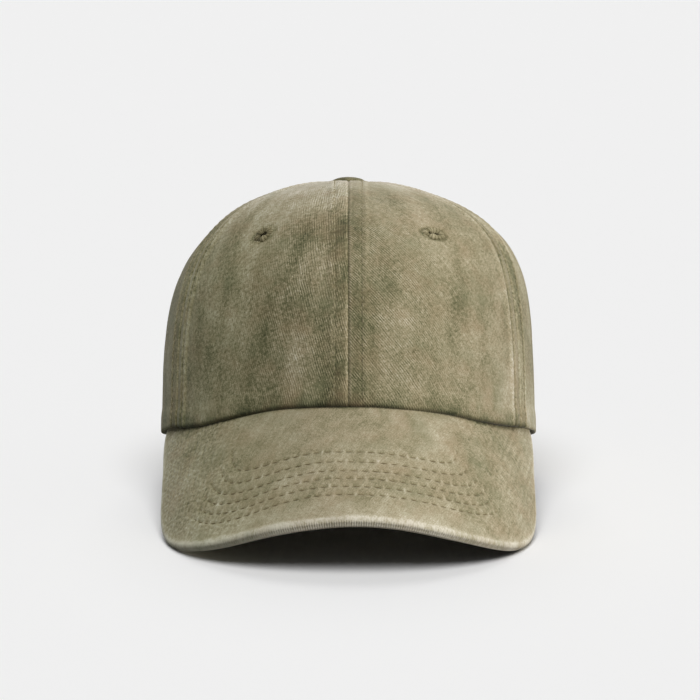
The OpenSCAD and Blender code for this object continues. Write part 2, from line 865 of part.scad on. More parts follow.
front_left_panel();
front_right_panel();
side_left_panel();
side_right_panel();
back_left_panel();
back_right_panel();
front_left_eyelet();
front_right_eyelet();
side_left_eyelet();
side_right_eyelet();
back_left_eyelet();
back_right_eyelet();
front_seam_tape();
rear_seam_tape();
front_left_seam_tape();
front_right_seam_tape();
back_left_seam_tape();
back_right_seam_tape();
sweatband();
arch_binding();
visor_top_cover();
visor_board();
visor_under_cover();
crown_button_cover();
crown_button_shell();
crown_button_stem();
crown_button_washer();
closure_strap();
buckle_tab();
buckle_frame();
buckle_pin();
buckle_lever();
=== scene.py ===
# %% [markdown]
# # A washed six-panel baseball cap
# The CAD model gives every piece of the cap its place and size. This lesson dresses it: cloth with sunk
# seams, rows of real thread, a stitched visor, embroidered eyelets and an aged brass buckle. Each new
# piece is a surface worked out with numpy in millimetres, on the cap's own level frame, and then
# stood on the table as the CAD model stands.

# %% Load the frame
import json

import bpy
import numpy as np
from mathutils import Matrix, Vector

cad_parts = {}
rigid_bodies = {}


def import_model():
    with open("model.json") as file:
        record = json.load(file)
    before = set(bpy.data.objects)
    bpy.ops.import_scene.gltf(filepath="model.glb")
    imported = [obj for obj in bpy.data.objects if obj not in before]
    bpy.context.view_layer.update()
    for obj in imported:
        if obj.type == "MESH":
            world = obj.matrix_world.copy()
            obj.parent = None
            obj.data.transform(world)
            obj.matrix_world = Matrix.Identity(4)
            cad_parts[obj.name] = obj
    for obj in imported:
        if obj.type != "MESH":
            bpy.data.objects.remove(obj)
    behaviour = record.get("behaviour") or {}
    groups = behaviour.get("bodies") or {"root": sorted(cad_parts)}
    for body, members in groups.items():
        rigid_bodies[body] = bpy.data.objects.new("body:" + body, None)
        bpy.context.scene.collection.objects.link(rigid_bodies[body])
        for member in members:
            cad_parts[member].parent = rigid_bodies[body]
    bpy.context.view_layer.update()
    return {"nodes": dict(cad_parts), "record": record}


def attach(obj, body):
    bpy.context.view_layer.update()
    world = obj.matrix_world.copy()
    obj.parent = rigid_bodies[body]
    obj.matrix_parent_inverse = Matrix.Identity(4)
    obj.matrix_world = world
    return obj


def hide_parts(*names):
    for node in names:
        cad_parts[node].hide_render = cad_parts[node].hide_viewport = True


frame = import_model()

# %% [markdown]
# ## From the level cap to the standing cap
# The cap is easiest to draw with the lower edge of its crown level. On the table it leans back on its
# visor corners and its rear edge. The mount in the record says where the middle of the lower edge went
# and which way its axis points, so that one place and one direction give the whole move.

# %% Stand the level cap on the table
MM = 0.001
opening = frame["record"]["mounts"][0]
rim_centre = np.array(opening["pos_m"])
lean_sin, lean_cos = -opening["axis"][1], -opening["axis"][2]


def stand(points):
    """Level millimetres to standing metres: tip back about X by the lean, then move to the rim's middle."""
    x, y, z = np.moveaxis(np.asarray(points, float), -1, 0)
    tipped = np.stack([x, y * lean_cos + z * lean_sin, z * lean_cos - y * lean_sin], -1)
    return tipped * MM + rim_centre


print("lean in degrees:", round(float(np.degrees(np.arctan2(lean_sin, lean_cos))), 2))

# %% [markdown]
# ## Small tools for shaping cloth
# Cloth relief is built from a few curves: a smooth step for layers, a bell for grooves and ridges, a
# rolled edge for folds, and sums of sines in seeded directions for the unevenness that washing leaves.

# %% Curves that shape the cloth
def smooth(x, low, high):
    """Smooth step: 0 up to low, 1 from high on, and a cubic S between them."""
    t = np.clip((x - low) / (high - low), 0, 1)
    return t * t * (3 - 2 * t)


def bell(x, centre, width):
    """Bell curve: 1 at the centre, falling off as exp(-(distance / width) squared)."""
    return np.exp(-(((x - centre) / width) ** 2))


def rolled(distance, radius):
    """Depth of a rolled edge: a quarter circle that starts one radius deep at the edge."""
    inside = np.clip(1 - distance / radius, 0, 1)
    return radius * (1 - np.sqrt(1 - inside**2))


def ripples(u, v, seed, shortest, longest, count=7):
    """Unevenness: the mean of sines with random directions, phases and wavelengths over cloth u, v."""
    rng = np.random.default_rng(seed)
    turn, phase = rng.uniform(0, 2 * np.pi, (2, count))
    length = rng.uniform(shortest, longest, count)
    along = u[..., None] * np.cos(turn) + v[..., None] * np.sin(turn)
    return np.sin(2 * np.pi * along / length + phase).mean(-1)


def crowded(count, pull):
    """Numbers from 0 to 1 that crowd towards both ends: c less the pull times sin(2 pi c) / (2 pi)."""
    c = np.linspace(0, 1, count)
    return c - pull * np.sin(2 * np.pi * c) / (2 * np.pi)


def arc(points, axis=0):
    """Length along a grid of points, added up step by step from 0."""
    step = np.linalg.norm(np.diff(points, axis=axis), axis=-1)
    return np.insert(np.cumsum(step, axis=axis), 0, 0, axis=axis)


def normals(points):
    """Unit normals of a grid: the cross product of its column and row directions."""
    cross = np.cross(np.gradient(points, axis=1), np.gradient(points, axis=0))
    return cross / np.maximum(np.linalg.norm(cross, axis=-1, keepdims=True), 1e-12)


print("a bell is", round(float(bell(1.0, 0, 1.0)), 3), "one width from its centre")

# %% [markdown]
# ## Meshes from arrays
# A grid of points becomes a mesh by index arithmetic alone. Blender's editing tools could build the same
# faces step by step, but whole arrays are quicker and come out the same every time. A cloth piece has
# two skins, so its mesh is an outer grid, an inner grid, and walls round the border and round any hole.

# %% Faces of grids and shells
def grid_quads(index):
    """Quads of a table of vertex numbers: each cell takes its four corners, columns first."""
    return np.stack([index[:-1, :-1], index[:-1, 1:], index[1:, 1:], index[1:, :-1]], -1).reshape(-1, 4)


def wall(outer_line, inner_line):
    """Quads between two lines of vertex numbers that run side by side."""
    return np.stack([outer_line[:-1], inner_line[:-1], inner_line[1:], outer_line[1:]], -1)


def shell(outer, inner, hole=None):
    """Closed cloth: outer skin, inner skin turned over, border walls, and walls round the hole's cells."""
    rows, cols = outer.shape[:2]
    top = np.arange(rows * cols).reshape(rows, cols)
    low = top + rows * cols
    border = [
        wall(top[0], low[0]),
        wall(top[:, -1], low[:, -1]),
        wall(top[-1, ::-1], low[-1, ::-1]),
        wall(top[::-1, 0], low[::-1, 0]),
    ]
    keep = np.ones((rows - 1) * (cols - 1), bool)
    if hole is not None:
        keep = ~hole.ravel()
        border += hole_walls(hole, top, low)
    skins = [grid_quads(top)[keep], grid_quads(low)[keep][:, ::-1]]
    points = np.concatenate([outer.reshape(-1, 3), inner.reshape(-1, 3)])
    return points, np.concatenate(skins + border)


def hole_walls(hole, top, low):
    """Walls where a hole's cell meets a kept cell, in each of the four directions."""
    left = hole[:, 1:] & ~hole[:, :-1]
    right = ~hole[:, 1:] & hole[:, :-1]
    below = hole[1:] & ~hole[:-1]
    above = ~hole[1:] & hole[:-1]
    pairs = [
        (left, (slice(None, -1), slice(1, -1)), (slice(1, None), slice(1, -1))),
        (right, (slice(1, None), slice(1, -1)), (slice(None, -1), slice(1, -1))),
        (below, (slice(1, -1), slice(1, None)), (slice(1, -1), slice(None, -1))),
        (above, (slice(1, -1), slice(None, -1)), (slice(1, -1), slice(1, None))),
    ]
    return [
        np.stack([top[a][m], low[a][m], low[b][m], top[b][m]], -1) for m, a, b in pairs
    ]


print("a 3 by 4 grid has", len(grid_quads(np.arange(12).reshape(3, 4))), "quads")


# %% Put a piece into the scene
UV_MM = 100


def put(name, points, quads, finish, slot, body="cap", node=None, uv=None, tris=None, **marks):
    mesh = bpy.data.meshes.new(name)
    loops, starts = quads.ravel(), np.arange(0, quads.size, 4)
    if tris is not None:
        starts = np.concatenate([starts, quads.size + np.arange(0, tris.size, 3)])
        loops = np.concatenate([loops, tris.ravel()])
    mesh.vertices.add(len(points))
    mesh.vertices.foreach_set("co", stand(points).ravel())
    mesh.loops.add(len(loops))
    mesh.loops.foreach_set("vertex_index", loops.astype(np.int32))
    mesh.polygons.add(len(starts))
    mesh.polygons.foreach_set("loop_start", starts.astype(np.int32))
    mesh.update(calc_edges=True)
    mesh.shade_smooth()
    if uv is not None:
        layer = mesh.uv_layers.new(name="cloth")
        layer.data.foreach_set("uv", (uv[loops] / UV_MM).astype(np.float32).ravel())
    for mark, values in marks.items():
        layer = mesh.attributes.new(mark, "FLOAT", "POINT")
        layer.data.foreach_set("value", values.astype(np.float32).ravel())
    piece = bpy.data.objects.new(name, mesh)
    bpy.context.collection.objects.link(piece)
    mesh.materials.append(finish)
    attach(piece, body)
    if node:
        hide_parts(node)
    print(name, "has", len(starts), "faces")


print("a cloth map counts in steps of", UV_MM, "mm")

# %% [markdown]
# ## Finishes
# Each finish is a node tree that reads the cloth's own map, in millimetres, so that the weave follows
# the piece. A helper adds a node, sets its values and wires its inputs in one line.

# %% Node helper
def srgb(*value):
    """Display colour, 0 to 255, to the linear colour that shaders use."""
    c = np.array(value) / 255
    return tuple(np.where(c <= 0.04045, c / 12.92, ((c + 0.055) / 1.055) ** 2.4)) + (1.0,)


class Finish:
    """A node tree under construction, on a new material or on another block such as a world."""

    def __init__(self, name, kind="materials", shader="Principled BSDF"):
        self.block = getattr(bpy.data, kind).new(name)
        self.block.use_nodes = True
        self.tree = self.block.node_tree
        self.shader = self.tree.nodes[shader]

    def add(self, kind, inputs=None, out=0, **settings):
        """A new node with its settings and inputs; gives back one of its outputs."""
        node = self.tree.nodes.new("ShaderNode" + kind)
        for key, value in settings.items():
            setattr(node, key, value)
        self.feed(node, inputs or {})
        return node.outputs[out]

    def feed(self, node, inputs):
        """Inputs that are sockets are linked; all others are set as values."""
        for key, value in inputs.items():
            if isinstance(value, bpy.types.NodeSocket):
                self.tree.links.new(value, node.inputs[key])
            else:
                node.inputs[key].default_value = value

    def math(self, operation, a, b=0.0, c=0.0):
        """One step of arithmetic on up to three numbers."""
        return self.add("Math", {0: a, 1: b, 2: c}, operation=operation)

    def mix(self, factor, a, b, blend="MIX"):
        """Colour a to colour b by a factor from 0 to 1."""
        node = self.add("Mix", data_type="RGBA", blend_type=blend, out=2).node
        self.feed(node, {0: factor, 6: a, 7: b})
        return node.outputs[2]

    def ramp(self, factor, *stops):
        """A colour from a row of stops, each a place from 0 to 1 and a colour."""
        output = self.add("ValToRGB", {0: factor})
        ramp = output.node.color_ramp
        for place, _ in stops[1:-1]:
            ramp.elements.new(place)
        for element, (place, colour) in zip(ramp.elements, stops):
            element.position, element.color = place, colour
        return output

    def cloth(self):
        """The piece's own cloth map, in millimetres."""
        uv = self.add("UVMap", uv_map="cloth")
        return self.add("VectorMath", {0: uv, 1: (UV_MM,) * 3}, operation="MULTIPLY")

    def place(self):
        """The place on the piece in metres, from Object coordinates."""
        return self.add("TexCoord", out=3)

    def mark(self, name):
        """A number that the piece carries at each of its points."""
        return self.add("Attribute", attribute_name=name, out=2)

    def noise(self, vector, scale, detail=2.0, roughness=0.5):
        """Cloudy noise from 0 to 1, with so many clouds to each unit of the vector."""
        return self.add(
            "TexNoise", {"Vector": vector, "Scale": scale, "Detail": detail, "Roughness": roughness}
        )

    def stretched(self, vector, scales, detail, roughness=0.5):
        """The same noise with a scale of its own along each axis."""
        return self.noise(self.add("Mapping", {"Vector": vector, "Scale": scales}), 1.0, detail, roughness)

    def seen(self):
        """1 on rays from the camera and from mirrored or clear surfaces, 0 on all others."""
        rays = self.add("LightPath").node.outputs
        mirrored = self.math("MAXIMUM", rays["Is Glossy Ray"], rays["Is Transmission Ray"])
        return self.math("MAXIMUM", rays["Is Camera Ray"], mirrored)


print("cloth grey in linear light:", [round(c, 3) for c in srgb(150, 142, 115)])

# %% [markdown]
# Washed twill is a dyed cotton with diagonal wales. The stone wash fades the raised yarns and every
# raised fold, and painted shade darkens the grooves. A picture of cloth could be wrapped round the cap,
# but it would stretch and repeat. Here one number, the fade, is summed from the wale, its broken yarns,
# cloudy mottling, streaks along the warp and the marks that each piece carries: wear, in places with
# painted light, and shade, mostly painted shade. A ramp turns the fade into olive, khaki or worn pale cloth.

# %% Weave of the twill
WALE_MM, RIB_MM = 1.02, 1.05
WALE_BREAKS = (0.16, 0.42)


def twill_weave(f, cloth, patch, wale, wale_mm):
    """Wales: a wavering sine across the map, broken up by two noises and gone where the cloth is rubbed."""
    wobble = f.math("MULTIPLY", f.noise(cloth, 0.12, 1.0), 1.2)
    across = f.math("ADD", f.add("SeparateXYZ", {0: cloth}), wobble)
    phase = f.math("MULTIPLY", across, 2 * np.pi / wale_mm)
    broken = f.math("MULTIPLY", patch, f.stretched(cloth, (0.9, 0.22, 1.0), 2.0, 0.6))
    strength = f.add("MapRange", {0: broken, 1: WALE_BREAKS[0], 2: WALE_BREAKS[1], 3: 0.0, 4: wale})
    standing = f.math("SUBTRACT", 1.0, f.mark("rubbed"))
    return f.math("MULTIPLY", f.math("SINE", phase), f.math("MULTIPLY", strength, standing))


def edge_ribs(f, yarn):
    """Ribs of a gathered edge: a sine along it, shifted by the yarn, as strong as the piece's mark says."""
    along = f.math("MULTIPLY", f.mark("edge_mm"), 2 * np.pi / RIB_MM)
    return f.math("MULTIPLY", f.math("SINE", f.math("MULTIPLY_ADD", yarn, 3.0, along)), f.mark("ribbed"))


def stained(f, cloth, colour, stain, scale, level, most):
    """Soft patches of another colour where a slow noise rises above a level, up to a share."""
    share = f.add("MapRange", {0: f.noise(cloth, scale, 3.0, 0.6), 1: level, 2: 0.7, 3: 0.0, 4: most})
    return f.mix(share, colour, stain)


print("wales", WALE_MM, "mm apart")

# %% Washed twill
KHAKI_FADE = (
    (0.0, srgb(56, 58, 37)),
    (0.28, srgb(99, 97, 69)),
    (0.52, srgb(143, 134, 106)),
    (0.76, srgb(173, 165, 141)),
    (1.0, srgb(205, 199, 182)),
)
BROWN_STAIN, OLIVE_STAIN = srgb(147, 124, 96), srgb(116, 117, 88)
OLIVE_CAST = (0.92, 1.0, 0.9, 1.0)
RIB_FADE, PEBBLE_FADE = 0.07, 0.8
YARN_HIGH, WEAVE_HIGH, RIB_HIGH, FIBRE_HIGH, PEBBLE_HIGH = 0.5, 2.4, 0.6, 0.5, 1.0


def washed_twill(name, wale=0.24, lift=0.0, mottle=0.7, speckle=0.75, wale_mm=WALE_MM):
    """Fade = lift + clouds + streaks + wale + yarn + wear - shade, then a ramp, and bump from the weave."""
    f = Finish(name)
    cloth = f.cloth()
    cloud, patch = f.noise(cloth, 0.035, 4.0, 0.6), f.noise(cloth, 0.13, 4.0, 0.62)
    streak = f.stretched(cloth, (0.6, 0.06, 1.0), 3.0, 0.6)
    yarn = f.stretched(cloth, (1.5, 0.8, 1.0), 3.0, 0.65)
    fibre = f.noise(cloth, 1.6, 2.0, 0.75)
    grain = f.math("SUBTRACT", f.noise(cloth, 0.62, 1.0), 0.5)
    pebble = f.math("MULTIPLY", grain, f.mark("pebbled"))
    weave, rib = twill_weave(f, cloth, patch, wale, wale_mm), edge_ribs(f, yarn)
    shares = (
        (cloud, 0.55 * mottle), (patch, 0.55 * mottle), (streak, 0.25), (yarn, 0.45), (fibre, speckle))
    fade = f.math("ADD", weave, 0.5 + lift - sum(share for _, share in shares) / 2)
    for part, share in shares + ((rib, RIB_FADE), (pebble, PEBBLE_FADE)):
        fade = f.math("MULTIPLY_ADD", part, share, fade)
    fade = f.math("SUBTRACT", f.math("ADD", fade, f.mark("wear")), f.mark("shade"))
    colour = stained(f, cloth, f.ramp(fade, *KHAKI_FADE), BROWN_STAIN, 0.06, 0.45, 0.3)
    colour = stained(f, cloth, colour, OLIVE_STAIN, 0.045, 0.5, 0.35)
    colour = f.mix(f.mark("olive"), colour, OLIVE_CAST, "MULTIPLY")
    height = f.math("MULTIPLY", yarn, YARN_HIGH)
    for part, high in ((weave, WEAVE_HIGH), (rib, RIB_HIGH), (fibre, FIBRE_HIGH), (pebble, PEBBLE_HIGH)):
        height = f.math("MULTIPLY_ADD", part, high, height)
    normal = f.add("Bump", {"Height": height, "Strength": 0.4, "Distance": 0.0004})
    f.feed(f.shader, {
        "Base Color": colour, "Normal": normal, "Roughness": 0.92, "Specular IOR Level": 0.15,
        "Sheen Weight": 0.1, "Sheen Roughness": 0.5,
    })
    return f.block


crown_twill = washed_twill("washed_twill_crown")
visor_twill = washed_twill(
    "washed_twill_visor", wale=0.05, lift=0.055, mottle=0.9, speckle=0.65, wale_mm=0.95)
under_twill = washed_twill("washed_twill_under", wale=0.14, lift=-0.1)
print("three washes of twill")

# %% [markdown]
# Sewing thread is a twisted cotton yarn, a little darker than the cloth where it lies sunk in a row. The
# tapes and the sweatband are plain cotton with a rib. The buckle is brass and the shell of the button is
# steel, both clouded by age, so one noise makes the metal darker and rougher together.

# %% Thread, cotton and metal
DEEP_SHARE = 0.3


def sewing_thread(name, dark, light):
    """Two thread tones mixed by a fine noise, less the shade that a piece may carry, with a little bump."""
    f = Finish(name)
    place = f.place()
    fleck = f.noise(place, 2600.0, 2.0)
    drift = f.noise(place, 60.0, 2.0)
    tone = f.math("MULTIPLY_ADD", fleck, 0.6, f.math("MULTIPLY", drift, 0.5))
    tone = f.math("SUBTRACT", tone, f.mark("shade"))
    deep = tuple(DEEP_SHARE * c for c in dark[:3]) + (1.0,)
    colour = f.ramp(tone, (0.0, deep), (0.3, dark), (0.75, light))
    normal = f.add("Bump", {"Height": fleck, "Strength": 0.5, "Distance": 0.0002})
    f.feed(f.shader, {"Base Color": colour, "Normal": normal, "Roughness": 0.85, "Specular IOR Level": 0.2})
    return f.block


def ribbed_cotton(name, dark, light, rib_mm):
    """Plain cotton: ribs across the cloth's map, a fine yarn noise and soft wash clouds."""
    f = Finish(name)
    cloth = f.cloth()
    rib = f.math("SINE", f.math("MULTIPLY", f.add("SeparateXYZ", {0: cloth}), 2 * np.pi / rib_mm))
    yarn = f.noise(cloth, 1.6, 3.0, 0.6)
    cloud = f.noise(cloth, 0.06, 3.0)
    tone = f.math("MULTIPLY_ADD", yarn, 0.5, f.math("MULTIPLY", cloud, 0.5))
    tone = f.math("MULTIPLY_ADD", rib, 0.1, tone)
    colour = f.ramp(tone, (0.25, dark), (0.75, light))
    height = f.math("MULTIPLY_ADD", rib, 0.5, yarn)
    normal = f.add("Bump", {"Height": height, "Strength": 0.45, "Distance": 0.0003})
    f.feed(f.shader, {"Base Color": colour, "Normal": normal, "Roughness": 0.92, "Specular IOR Level": 0.2})
    return f.block


def aged_metal(name, dark, light, roughness):
    """Metal with a clouded patina: the noise darkens it and makes it rougher."""
    f = Finish(name)
    place = f.place()
    patina = f.noise(place, 260.0, 5.0, 0.65)
    scratch = f.stretched(place, (300.0, 2500.0, 2500.0), 2.0)
    tone = f.math("MULTIPLY_ADD", scratch, 0.25, f.math("MULTIPLY", patina, 0.85))
    colour = f.ramp(tone, (0.32, dark), (0.72, light))
    rough = f.add("MapRange", {0: tone, 1: 0.3, 2: 0.75, 3: roughness + 0.2, 4: roughness})
    normal = f.add("Bump", {"Height": tone, "Strength": 0.12, "Distance": 0.0003})
    f.feed(f.shader, {"Base Color": colour, "Metallic": 1.0, "Roughness": rough, "Normal": normal})
    return f.block


row_thread = sewing_thread("row_thread", srgb(98, 88, 63), srgb(136, 124, 96))
seam_thread = sewing_thread("seam_thread", srgb(116, 109, 82), srgb(156, 147, 119))
eyelet_thread = sewing_thread("eyelet_thread", srgb(114, 107, 78), srgb(178, 168, 138))
band_cotton = ribbed_cotton("sweatband_cotton", srgb(118, 111, 88), srgb(160, 152, 126), 1.1)
tape_cotton = ribbed_cotton("seam_tape_cotton", srgb(112, 106, 82), srgb(156, 148, 122), 0.9)
aged_brass = aged_metal("aged_brass", srgb(74, 58, 34), srgb(176, 146, 92), 0.34)
dull_steel = aged_metal("dull_steel", srgb(110, 110, 108), srgb(178, 178, 174), 0.32)
print("thread, cotton and metal finishes")

# %% [markdown]
# The visor's board is a sheet of pale moulded plastic between two layers of cloth. It is hidden, so a
# soft cloudiness and a fine grain are all that its finish needs.

# %% Stiff board of the visor
def visor_board_finish(name):
    """Pale moulded board: a faint cloudy tone and a fine grain."""
    f = Finish(name)
    place = f.place()
    grain = f.noise(place, 900.0, 3.0)
    cloud = f.noise(place, 30.0, 2.0)
    tone = f.math("MULTIPLY_ADD", grain, 0.5, f.math("MULTIPLY", cloud, 0.5))
    colour = f.ramp(tone, (0.3, srgb(205, 201, 190)), (0.7, srgb(226, 223, 214)))
    normal = f.add("Bump", {"Height": grain, "Strength": 0.2, "Distance": 0.0002})
    f.feed(f.shader, {"Base Color": colour, "Normal": normal, "Roughness": 0.6})
    return f.block


board_plastic = visor_board_finish("visor_board_plastic")
print("board finish")

# %% [markdown]
# ## The crown's surface
# The crown is a superellipse both ways: round in plan, upright at its sides and rounding over to the
# top. Depth moves a point inwards, so every layer of the cap, and every bulge of its cloth, is the same
# formula at another depth.

# %% Crown formula
HALF_W, HALF_L, CROWN_H = 86.0, 98.0, 114.0
FULLNESS = (2.7, 3.6, 2.6)
FLATNESS = (2.2, 2.05, 2.05)
APEX_LEAN = 3.3
TEMPLE_DIP, TEMPLE_AT, DIP_SPREAD, DIP_FADE = 4.6, 51.5, 34.0, 0.5
FRONT_SEAM, BACK_SEAM = 63.0, 124.0
ARCH_HALF, ARCH_H = 35.0, 48.0
EYELET_AT, EYELET_H = 32.5, 80.0
TOP_RISE = 0.9902
SWELL, SWELL_AT, SWELL_ROUND, SWELL_RISE, SWELL_UP = 3.4, 78.0, 32.0, 0.56, 0.17


def around(phi, front, side, back):
    """A value that turns from front over side to back with the square of the azimuth's cosine."""
    c = np.cos(np.radians(phi))
    return side + (np.where(c >= 0, front, back) - side) * c * c


def crown(phi, rise, depth):
    """Crown point at an azimuth in degrees, a rise from 0 to 1 and a depth in mm.

    The rise turns through a quarter circle. Its cosine, to the power 2 / flatness, scales the plan;
    its sine, to the power 2 / fullness, scales the height. The lower edge dips at the temples, and
    wear has pushed out the cap's left shoulder by a bell.
    """
    depth = depth - SWELL * bell(phi, SWELL_AT, SWELL_ROUND) * bell(rise, SWELL_RISE, SWELL_UP)
    k = around(phi, *FULLNESS)
    turn = np.pi / 2 * rise ** (k / 2)
    reach = np.clip(np.cos(turn), 0, 1) ** (2 / around(phi, *FLATNESS))
    height = np.sin(turn) ** (2 / k)
    off = (np.abs(phi) - TEMPLE_AT) / DIP_SPREAD
    dip = np.where(np.abs(off) < 1, -TEMPLE_DIP * np.cos(np.pi / 2 * np.clip(off, -1, 1)) ** 2, 0)
    x = (HALF_W - depth) * reach * np.sin(np.radians(phi))
    y = -(HALF_L - depth) * reach * np.cos(np.radians(phi)) - APEX_LEAN * height**2
    z = (CROWN_H - depth) * height + dip * np.clip(1 - rise / DIP_FADE, 0, 1) ** 2
    return np.stack(np.broadcast_arrays(x, y, z), -1)


def rise_at(z, phi):
    """The rise at a height above the level edge, from the inverse of the height's formula."""
    k = around(phi, *FULLNESS)
    return (np.arcsin((z / CROWN_H) ** (k / 2)) / (np.pi / 2)) ** (2 / k)


ARCH_PHI = float(np.degrees(np.arcsin(ARCH_HALF / HALF_W)))
ARCH_RISE = float(rise_at(ARCH_H, 180.0))
EYELET_RISE = float(rise_at(EYELET_H, EYELET_AT))
print("rear opening reaches rise", round(ARCH_RISE, 3), "and the eyelets", round(EYELET_RISE, 3))

# %% [markdown]
# An eyelet is cut through each panel for air. Washing has pulled the two front ones out of round. Their
# places come first, because the panels need them for their holes.

# %% Eyelet places
# For each eyelet: azimuth, half length, half height and width of thread in mm, slant; then how much darker its
# thread is.
EYELETS = {
    "front_left_eyelet": ((EYELET_AT, 4.4, 1.9, 1.5, -4), 0.06),
    "front_right_eyelet": ((-EYELET_AT, 3.4, 2.6, 1.7, 32), 0.2),
    "side_left_eyelet": ((93.5, 2.8, 2.6, 1.5, 0), 0.1),
    "side_right_eyelet": ((-93.5, 2.8, 2.6, 1.5, 0), 0.14),
    "back_left_eyelet": ((152.0, 2.85, 2.6, 1.5, 10), 0.1),
    "back_right_eyelet": ((-152.0, 2.85, 2.6, 1.5, -10), 0.1),
}
STEP_PHI, STEP_RISE = 0.5, 0.004


def eyelet_frame(phi):
    """Middle of an eyelet on the crown, and the unit directions along, up and out of the cloth there."""
    along = crown(phi + STEP_PHI, EYELET_RISE, 0.0) - crown(phi - STEP_PHI, EYELET_RISE, 0.0)
    rising = crown(phi, EYELET_RISE + STEP_RISE, 0.0) - crown(phi, EYELET_RISE - STEP_RISE, 0.0)
    along, out = along / np.linalg.norm(along), np.cross(along, rising)
    out /= np.linalg.norm(out)
    return crown(phi, EYELET_RISE, 0.0), along, np.cross(out, along), out


def eyelet_distance(points, phi, half_u, half_v, wide, slant):
    """Distance from an eyelet in shares of its slanted oval: 1 on the sewn ring's outer edge."""
    centre, along, rising, _ = eyelet_frame(phi)
    turn, x, y = np.radians(slant), (points - centre) @ along, (points - centre) @ rising
    x, y = x * np.cos(turn) + y * np.sin(turn), y * np.cos(turn) - x * np.sin(turn)
    return np.hypot(x / (half_u + wide), y / (half_v + wide))


print("eyelets at azimuths", [oval[0] for oval, _ in EYELETS.values()])

# %% [markdown]
# ## Crown panels
# Each panel is sewn to its neighbours with the allowances pressed open and topstitched on both sides.
# The seam sinks, its shoulders stand proud and wear pale, and the topstitching sinks again and puckers.
# A cloth simulation could drape the panels, but they are sewn to shape and stiff, and nothing in them
# hangs. All of it depends on the distance to the panel's edges, so relief is a function of that distance.

# %% Relief of a panel
PANEL_T = 1.0
HEM_R = 1.7
STITCH_AT, STITCH_PITCH = 6.3, 3.6


def seam_relief(s, t, room, pressed):
    """Height beside a seam at distance s: valley, pressed allowance, sunk stitch row and its puckers."""
    valley = -(0.2 + 0.4 * pressed) * bell(s, 0, 0.45) - 0.6 * pressed * (1 - smooth(s, 0, STITCH_AT))
    layer = pressed * (smooth(s, 0.0, 1.2) - smooth(s, STITCH_AT + 1.2, STITCH_AT + 3.4))
    row = -0.8 * pressed * bell(s, STITCH_AT - 0.4, 0.8)
    pucker = 0.11 * np.cos(2 * np.pi * t / STITCH_PITCH) * bell(s, STITCH_AT, 2.2)
    return valley + room * (layer + row + pucker)


def seam_marks(s, room, ridge):
    """Wear at the seam's lip and past the row; painted shade in seam, row and, with kept dye, under the
    allowance.
    """
    wear = (0.05 + 0.5 * ridge) * bell(s, 0.9, 0.6) + room * ridge * bell(s, STITCH_AT + 1.5, 1.3)
    # Painted shade, with some kept dye, under the allowance, mostly beside the pressed centre seam.
    seam_shade_and_dye = (0.1 - 0.32 * ridge) * smooth(s, 0.2, 2.0) * (1 - smooth(s, 3.5, STITCH_AT + 7))
    sunk = (0.12 + 0.9 * ridge) * bell(s, 0, 0.4)
    shade = sunk + room * (0.7 * ridge * bell(s, STITCH_AT - 0.4, 0.7) + seam_shade_and_dye)
    return wear, shade


def edge_relief(s):
    """Height beside a turned edge: a double layer that ends in a sunk stitch row."""
    return 0.35 * (1 - smooth(s, STITCH_AT, STITCH_AT + 2)) - 0.25 * bell(s, STITCH_AT, 0.7)


def back_end(rise):
    """Azimuth where a back panel ends: on the elliptical edge of the rear opening, or at the rear seam."""
    open_share = np.sqrt(np.clip(1 - (rise / ARCH_RISE) ** 2, 0, 1))
    return 180 - ARCH_PHI * open_share


print("topstitching lies", STITCH_AT, "mm from each seam")

# %% Grid of a panel
PANEL_COLS, PANEL_ROWS, PANEL_CROWDING = 130, 180, 0.6
HEM_STEPS = np.array([0, 0.05, 0.16, 0.34, 0.58, 0.9, 1.3, 1.8])
HEM_END = 2.3
FAR_OFF = 1e3


def panel_rises(phi):
    """Rises whose steps are even along the panel's middle line, with finer steps at the rolled hem."""
    dense = np.linspace(0, TOP_RISE, 800)
    length = arc(crown(phi, dense, 0))
    wanted = np.concatenate([HEM_STEPS, np.linspace(HEM_END, length[-1], PANEL_ROWS)])
    return np.interp(wanted, length, dense)


def panel_base(start, end, arch_side):
    """Azimuths and rises of a panel's grid. Columns crowd towards both edges, and rows at the arch's top."""
    rise = panel_rises((start[1][0] + end[1][0]) / 2)
    if arch_side:
        rise = np.unique(np.concatenate([rise, ARCH_RISE * np.sin(np.linspace(np.pi / 3, np.pi / 2, 16))]))
    rise = rise[:, None]
    low, high = (np.interp(rise, edge[0], edge[1]) for edge in (start, end))
    phi = low + (high - low) * crowded(PANEL_COLS, PANEL_CROWDING)
    return phi, np.broadcast_to(rise, phi.shape)


def fixed(phi):
    """An edge that stays at one azimuth, as a table of rises and azimuths."""
    return np.array([0.0, 1.0]), np.array([phi, phi])


def arched(side):
    """The rear edge of a back panel on one side, as a table of rises and azimuths."""
    rise = np.concatenate([ARCH_RISE * np.sin(np.linspace(0, np.pi / 2, 300)), [1.0]])
    return rise, side * back_end(rise)


def arch_distance(points, side):
    """Distance to the edge of the rear opening: the least over points along that edge."""
    if not side:
        return np.full(points.shape[:2], FAR_OFF)
    rise = ARCH_RISE * np.sin(np.linspace(0, np.pi / 2, 240))
    edge = crown(side * back_end(rise), rise, 0.0)
    return np.sqrt(((points[:, :, None] - edge) ** 2).sum(-1).min(-1))


print("a panel is", PANEL_COLS, "points wide and", PANEL_ROWS + len(HEM_STEPS), "points high")

# %% Seams and lower edge of a panel
VISOR_END = 79.0
HEM_DROP, CORNER_DROP = 0.4, 1.8
CENTRE_RIDGE, OTHER_RIDGE = 0.06, 0.27
CENTRE_PRESSED, OTHER_PRESSED = 0.22, 0.75
# Seams on the cap's right, the shaded side in the picture, wear less: painted shade.
CENTRE_WEAR, OTHER_WEAR, RIGHT_WEAR_IN_SHADE = 1.0, 0.7, 0.4
# How far the seams' painted shade and kept dye fade towards the top.
LESS_SEAM_SHADE_AT_TOP = 0.75


